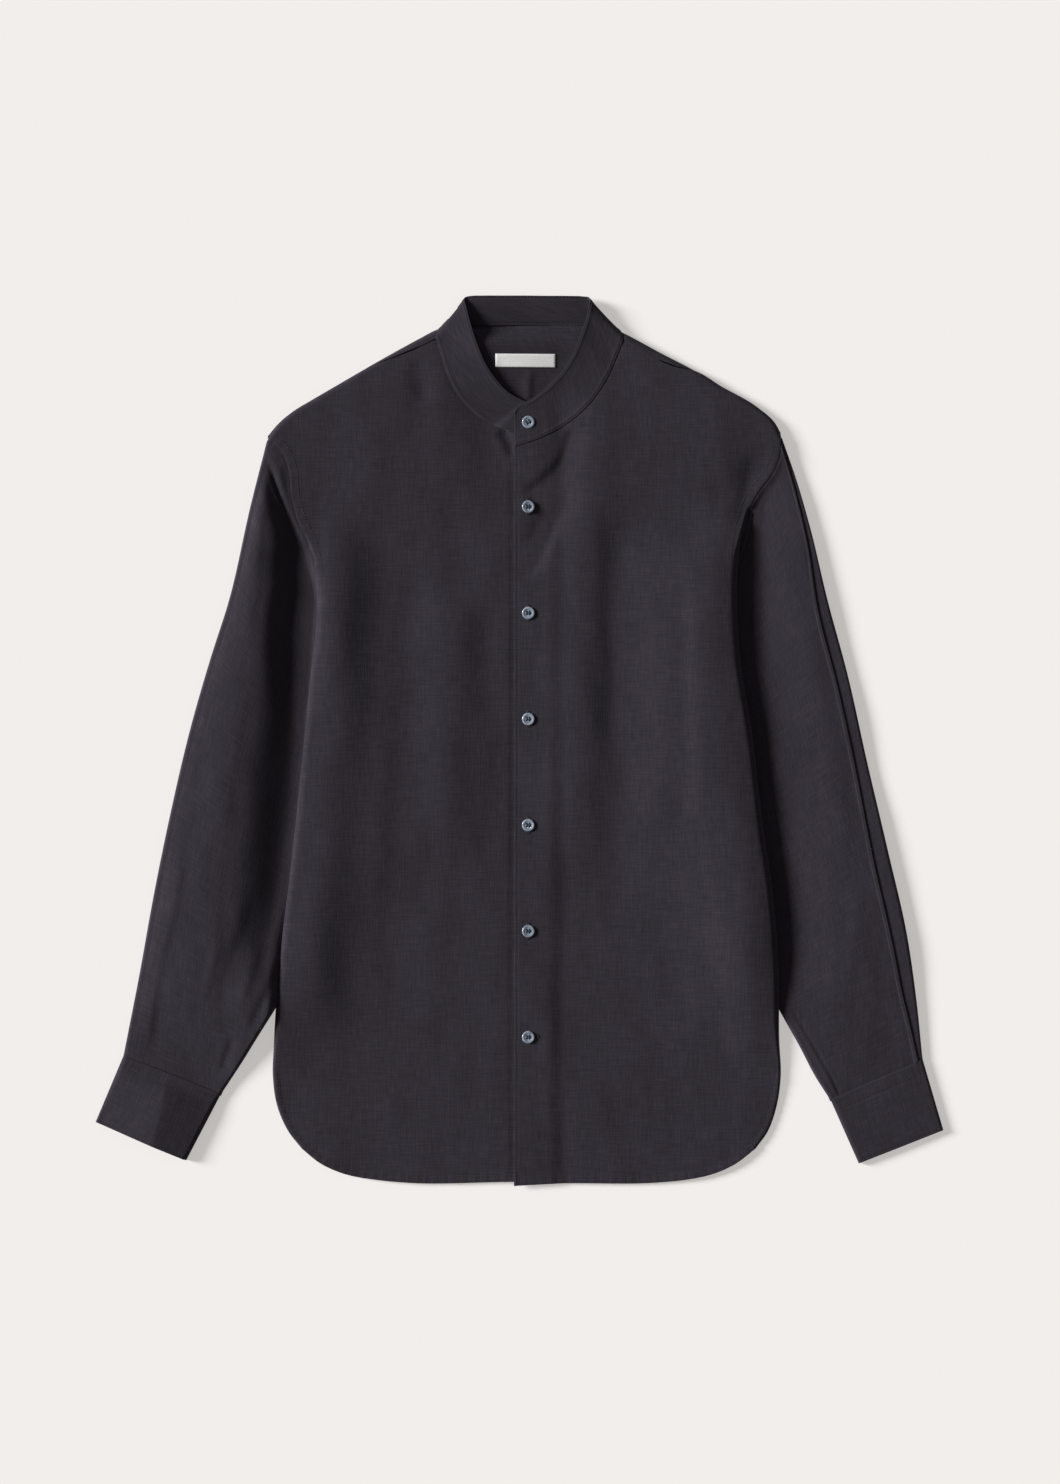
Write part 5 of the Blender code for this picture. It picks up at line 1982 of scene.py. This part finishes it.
@dataclass(frozen=True)
class Label:
    """The bare label sewn inside the neck."""

    size: tuple[float, float] = (54.0, 12.0)
    centre: tuple[float, float] = (5.4, 342.0)
    thick: float = 0.5
    above: float = 0.5

    def surface(self, yoke: Yoke) -> Surface:
        """Its face, on the yoke's inner face: that height plus the cloth, slightly rounded at its edges.

        Args:
            yoke: The yoke.

        Returns:
            The face.
        """
        across = np.linspace(-0.5, 0.5, 55) * self.size[0]
        up = np.linspace(-0.5, 0.5, 19) * self.size[1]
        y, x = np.meshgrid(up, across, indexing="ij")
        edge = np.minimum(self.size[0] / 2 - np.abs(x), self.size[1] / 2 - np.abs(y))
        world_x, world_y = x + self.centre[0], y + self.centre[1]
        z = yoke.inside_height(world_x, world_y) + CLOTH + self.above + self.thick
        z = z + LABEL_ROUND.at(edge) + 0.25 * np.cos(x / 11.0)
        return Surface(np.stack([world_x, world_y, z], axis=-1), np.stack([x, y], axis=-1))


@dataclass(frozen=True)
class Button:
    """A turned four-hole shirt button with a raised rim, sewn with two bars of thread.

    Attributes:
        seat: The height that it lies at.
        slope: The slopes of its seat along X and Y.
        turn: How far it is turned about its middle.
        hole_at: The distance of its holes from the middle.
        thickness: The share of its turned heights that it keeps, as the cloth takes in its base.
        strand: The radius of a strand of its thread.
        strand_step: The distance between strands.
        profile: The face's heights at distances from its middle.
        foot: Its base, from the edge in, as (distance, height).
    """

    centre: tuple[float, float]
    seat: float
    slope: tuple[float, float]
    turn: float = 0.0
    around: int = 96
    hole_at: float = 1.75
    hole_radius: float = 0.85
    hole_depth: float = 1.3
    thickness: float = 0.72
    strand: float = 0.26
    strand_step: float = 0.4
    profile: Points = (
        (0.0, 1.75), (2.6, 1.78), (3.4, 1.95), (4.1, 2.42), (4.75, 2.5), (5.25, 2.3), (5.6, 1.7), (5.7, 1.35),
    )
    foot: Points = ((5.66, 1.0), (5.4, 0.5), (4.4, 0.12), (2.5, 0.0), (0.02, 0.0))

    def height(self, x: Array, y: Array) -> Array:
        """The face at a place from the centre: a turned profile less the four wells of the holes.

        Args:
            x: Places across.
            y: Places up.

        Returns:
            The heights.
        """
        z = looked_up(self.profile, np.hypot(x, y))
        for k in range(4):
            angle = pi / 4 + k * pi / 2 + self.turn
            from_hole = np.hypot(x - self.hole_at * np.cos(angle), y - self.hole_at * np.sin(angle))
            z = z - self.hole_depth * smoothstep((self.hole_radius - from_hole) / 0.22 + 0.5)
        return z

    def placed(self, points: Array) -> Array:
        """Points of the button laid on its seat: its centre added, and the height that the slope gives."""
        x, y, z = np.moveaxis(points, -1, 0)
        z = z * self.thickness + self.seat + x * self.slope[0] + y * self.slope[1]
        return np.stack([x + self.centre[0], y + self.centre[1], z], axis=-1)

    def build(self, name: str, material: Material) -> Object:
        """The button: rings from the face's centre to the edge and back under to the middle of the base.

        Args:
            name: The piece's name.
            material: Its finish.

        Returns:
            The object.
        """
        radius = np.concatenate([[0.02], np.linspace(0.15, 2.6, 24), np.linspace(2.8, 5.5, 14), (5.62, 5.7)])
        angle = np.arange(self.around) * 2 * pi / self.around
        x = radius[:, None] * np.cos(angle)
        y = radius[:, None] * np.sin(angle)
        face = np.stack([x, y, self.height(x, y)], axis=-1)
        foot = np.asarray(self.foot)[:, :, None] + 0.0 * angle
        under = np.stack([foot[:, 0] * np.cos(angle), foot[:, 0] * np.sin(angle), foot[:, 1]], axis=-1)
        grid = self.placed(np.concatenate([face, under], axis=0))
        number = numbered(*grid.shape[:2], True)
        quads = cells(number.T)
        caps = [number[0, :-1][None], number[-1, :-1][::-1][None]]
        return show(name, mesh_of(name, grid.reshape(-1, 3), [quads.reshape(-1, 4), *caps]), material)

    def thread(self, name: str, material: Material) -> Object:
        """Two bars, each of three strands that rise out of one hole and go down in the next.

        Args:
            name: The piece's name.
            material: The thread.

        Returns:
            The object.
        """
        round_it = np.arange(6) * pi / 3
        outline = self.strand * np.stack([np.cos(round_it), np.sin(round_it)], axis=1)
        turned = np.array([[np.cos(self.turn), np.sin(self.turn)], [-np.sin(self.turn), np.cos(self.turn)]])
        reach = self.hole_at / sqrt(2)
        t = np.linspace(-1.0, 1.0, 11)
        points, faces, count = [], [], 0
        for bar in (-1.0, 1.0):
            for strand in (-1.0, 0.0, 1.0):
                x = np.full_like(t, bar * reach + strand * self.strand_step)
                z = 0.7 + 1.45 * (1 - np.abs(t) ** 5)
                path = np.stack([x, t * (reach + 0.28), z], axis=1)
                path[:, :2] = path[:, :2] @ turned
                tube = swept(self.placed(path), outline).points
                number = numbered(*tube.shape[:2], True) + count
                faces.extend([cells(number).reshape(-1, 4), number[0, -2::-1][None], number[-1, :-1][None]])
                points.append(tube.reshape(-1, 3))
                count += len(points[-1])
        return show(name, mesh_of(name, np.concatenate(points), faces), material)


@dataclass(frozen=True)
class Buttonhole:
    """A worked buttonhole: a welt of thread round a slit."""

    length: float = 14.0
    width: float = 2.3
    welt: float = 0.85
    welt_height: float = 0.38

    def build(
        self,
        name: str,
        centre: tuple[float, float],
        upright: bool,
        front: Front | None,
        seat: tuple[float, float, float],
        material: Material,
    ) -> Object:
        """The welt as a flat tube round a long loop with straight sides and round ends, laid on the cloth.

        Args:
            name: The piece's name.
            centre: Its middle (x, y).
            upright: Whether it runs up the front, or else across.
            front: The panel it lies on, or None to use the seat's plane.
            seat: The height and the slopes along X and Y of that plane.
            material: The thread.

        Returns:
            The finished object.
        """
        half_long, half_wide = self.length / 2 - self.width / 2, self.width / 2
        angle = np.linspace(-pi / 2, pi / 2, 13)
        end = np.stack([half_long + half_wide * np.cos(angle), half_wide * np.sin(angle)], axis=1)
        side = np.linspace(half_long, -half_long, 26)[1:-1]
        upper = np.stack([side, np.full_like(side, half_wide)], axis=1)
        loop = np.concatenate([end, upper, -end, -upper])
        if upright:
            loop = loop[:, ::-1] * (-1.0, 1.0)
        x, y = loop[:, 0] + centre[0], loop[:, 1] + centre[1]
        if front is None:
            z = seat[0] + (x - centre[0]) * seat[1] + (y - centre[1]) * seat[2]
        else:
            z = front.height(x, y)
        turn = np.arange(10) * 2 * pi / 10
        outline = np.stack([self.welt * np.cos(turn), self.welt_height * np.sin(turn)], axis=1)
        points = swept(np.stack([x, y, z + 0.1], axis=1), outline, ring=True).points[:-1]
        number = numbered(*points.shape[:2], True)
        quads = cells(np.concatenate([number, number[:1]], axis=0))
        return show(name, mesh_of(name, points.reshape(-1, 3), [quads.reshape(-1, 4)]), material)


def plane_under(centre: tuple[float, float], x: Array, y: Array, z: Array) -> tuple[float, float, float]:
    """The least-squares plane through points about a centre, raised until none stands above it.

    Args:
        centre: The place where its height is read.
        x: The points' places across.
        y: Their places up.
        z: Their heights.

    Returns:
        The height at the centre, and the slopes along X and Y.
    """
    terms = np.stack([np.ones_like(x), x - centre[0], y - centre[1]], axis=1)
    fit = np.linalg.lstsq(terms, z, rcond=None)[0]
    return float(fit[0] + (z - terms @ fit).max()), float(fit[1]), float(fit[2])


# ---- the whole shirt


@dataclass
class Shirt:
    """The whole shirt: builds each piece and hides the solid that it stands for."""

    linen: Material = field(default_factory=NAVY_LINEN.material)
    band_linen: Material = field(default_factory=NAVY_BAND.material)
    thread: Material = field(default_factory=SEWING_THREAD.material)
    dark_thread: Material = field(default_factory=DARK_THREAD.material)

    def stands_for(self, obj: Object, node: str) -> Object:
        """Lets a piece stand for its solid, which it hides."""
        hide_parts(node)
        return obj

    def body(self) -> None:
        """The back, the yoke and both fronts, with their stitching."""
        back = self.stands_for(shell("back_cloth", Back().surface(), self.linen, flip=True), "back")
        yoke = self.stands_for(shell("yoke_cloth", Yoke().surface(), self.linen), "yoke")
        for front, node, area in ((RIGHT_FRONT, "right_front", 0.160), (LEFT_FRONT, "left_front", 0.159)):
            flip = front.half.side_of is Side.RIGHT
            cloth = shell(f"{node}_cloth", front.surface(), self.linen, flip=flip)
            self.stands_for(cloth, node)
            sewing = [Stitch().sewn(f"{node}_stitching", front_rows(front), self.thread)]

    def sleeves(self) -> None:
        """Both sleeves and cuffs, with the cuffs' stitching."""
        for sleeve, cuff, name in ((LEFT_SLEEVE, LEFT_CUFF, "left"), (RIGHT_SLEEVE, RIGHT_CUFF, "right")):
            flip = sleeve.half.side_of is Side.RIGHT
            tube = shell(f"{name}_sleeve_cloth", sleeve.surface(), self.linen, flip=flip)
            self.stands_for(tube, f"{name}_sleeve")
            surface = cuff.surface()
            band = shell(f"{name}_cuff_cloth", surface, self.linen, wall=CUFF_WALL, flip=flip)
            self.stands_for(band, f"{name}_cuff")
            sewing = [Stitch().sewn(f"{name}_cuff_stitching", self.cuff_rows(cuff, surface), self.thread)]

    def cuff_rows(self, cuff: Cuff, surface: Surface) -> Rows:
        """The cuff's stitch rows: one below the seam and one by the free edge, on its upper side.

        Args:
            cuff: The cuff.
            surface: Its outer face.

        Returns:
            Each row's points and normals.
        """
        columns = np.linspace(10.0, 11.0 + cuff.across, 160)
        places = (cuff.stitch_from_seam, cuff.length() - cuff.stitch_from_end)
        lines = [surface.line_at(place, cuff.across // 2 + 7, columns) for place in places]
        return [(points, normal * np.sign(normal[:, 2:])) for points, normal in lines]

    def collar(self) -> None:
        """The band with its stitching, and the bare label inside the neck."""
        band = Band()
        surface = band.surface()
        cloth = shell("collar_band_cloth", surface, self.band_linen, wall=BAND_WALL, flip=True)
        self.stands_for(cloth, "collar_band")
        columns = np.linspace(5.0, band.stations - 3.0, 700)
        lines = [surface.line_at(place, OVER_BUTTON, columns) for place in (band.row_in, -band.stitch_in)]
        rows = [(points, -normal) for points, normal in lines]
        sewing = [Stitch().sewn("collar_band_stitching", rows, self.thread)]

        label = shell("label_cloth", Label().surface(Yoke()), LabelFinish().material(), wall=Label().thick)
        self.stands_for(label, "label")

    def fastening(self) -> None:
        """The seven buttons with their thread, and the worked buttonholes."""
        shine = ButtonFinish().material()
        band = Band().surface().points[:, :OVER_BUTTON].reshape(-1, 3)
        across, up = np.meshgrid(np.linspace(-1, 1, 13), np.linspace(-1, 1, 13))
        disc = across**2 + up**2 <= 1.0
        for number, y in enumerate(BUTTON_YS, 1):
            centre = (BUTTON_X, y)
            on_band = number == 1
            across_front = on_band or number == len(BUTTON_YS)
            if on_band:
                near = np.hypot(band[:, 0] - centre[0], band[:, 1] - centre[1]) < BUTTON_RADIUS
                px, py, pz = band[near].T
            else:
                px = centre[0] + across[disc] * BUTTON_RADIUS
                py = centre[1] + up[disc] * BUTTON_RADIUS
                pz = LEFT_FRONT.height(px, py)
            seat = plane_under(centre, px, py, pz)
            middle = (centre[0] + HOLE_AHEAD[0], centre[1] + HOLE_AHEAD[1]) if across_front else centre
            front = None if on_band else LEFT_FRONT
            hole = f"buttonhole_{number}"
            Buttonhole().build(hole, middle, not across_front, front, seat, self.dark_thread)
            button = Button(centre, seat[0] + THREAD_SHANK, seat[1:], turn=FIRST_TURN if on_band else 0.0)
            piece = button.build(f"shirt_button_{number}", shine)
            self.stands_for(piece, f"button_{number}")
            button.thread(f"button_thread_{number}", self.dark_thread)

    def build(self) -> None:
        """Builds the pieces in order."""
        self.body()
        self.sleeves()
        self.collar()
        self.fastening()


# ---- the studio


@dataclass(frozen=True)
class Studio:
    """A plain pale floor, soft light from the upper left and the camera above, with angles in degrees."""

    floor_size: float = 9000.0
    floor_below: float = 0.3
    sun_power: float = 6.60
    sun_angle: float = 18.0
    sun_elevation: float = 23.0
    sun_azimuth: float = 166.0
    sun_colour: tuple[float, float, float] = (0.998, 0.999, 1.0)
    ambient: float = 0.18
    ambient_colour: Colour = (1.0, 0.95, 0.88, 1.0)
    floor_cells: int = 8

    def floor(self) -> None:
        """The surface under the shirt, as a fine square grid just below it."""
        side = np.linspace(-0.5, 0.5, self.floor_cells + 1) * self.floor_size
        y, x = np.meshgrid(side, side, indexing="ij")
        points = np.stack([x, y, np.full_like(x, -self.floor_below)], axis=-1).reshape(-1, 3)
        mesh = mesh_of("floor", points, [cells(numbered(*x.shape)).reshape(-1, 4)])
        mesh.materials.append(FloorFinish().material())
        linked("floor", mesh)

    def light(self) -> None:
        """A broad soft light low from the upper left, and an even light from all round."""
        data = bpy.data.lights.new("soft_key", "SUN")
        data.energy = self.sun_power
        data.angle = radians(self.sun_angle)
        data.color = self.sun_colour
        azimuth, elevation = radians(self.sun_azimuth), radians(self.sun_elevation)
        level = np.cos(elevation)
        toward = Vector((np.cos(azimuth) * level, np.sin(azimuth) * level, np.sin(elevation)))
        linked("soft_key", data).rotation_euler = toward.to_track_quat("Z", "Y").to_euler()
        world = bpy.data.worlds.new("even_light")
        world.use_nodes = True
        background = world.node_tree.nodes["Background"]
        background.inputs["Color"].default_value = self.ambient_colour
        background.inputs["Strength"].default_value = self.ambient
        bpy.context.scene.world = world
        bpy.context.scene.view_settings.view_transform = "Standard"

    def camera(self) -> None:
        """The camera, straight down on the shirt with the collar at the top of the picture."""
        data = bpy.data.cameras.new("camera")
        data.sensor_width = SENSOR
        data.lens = SENSOR * CAMERA_HEIGHT / FRAME_HEIGHT
        data.clip_end = CAMERA_SEES_TO * MM
        camera = linked("camera", data)
        camera.location = (FRAME_CENTRE[0] * MM, FRAME_CENTRE[1] * MM, CAMERA_HEIGHT * MM)
        bpy.context.scene.camera = camera

    def build(self) -> None:
        """Sets up the floor, the light and the camera."""
        self.floor()
        self.light()
        self.camera()


def main() -> None:
    """Builds the shirt and the studio."""
    logging.basicConfig(level=logging.INFO, format="%(name)s: %(message)s")
    Shirt().build()
    Studio().build()
    bpy.context.view_layer.update()


if __name__ == "__main__":
    main()
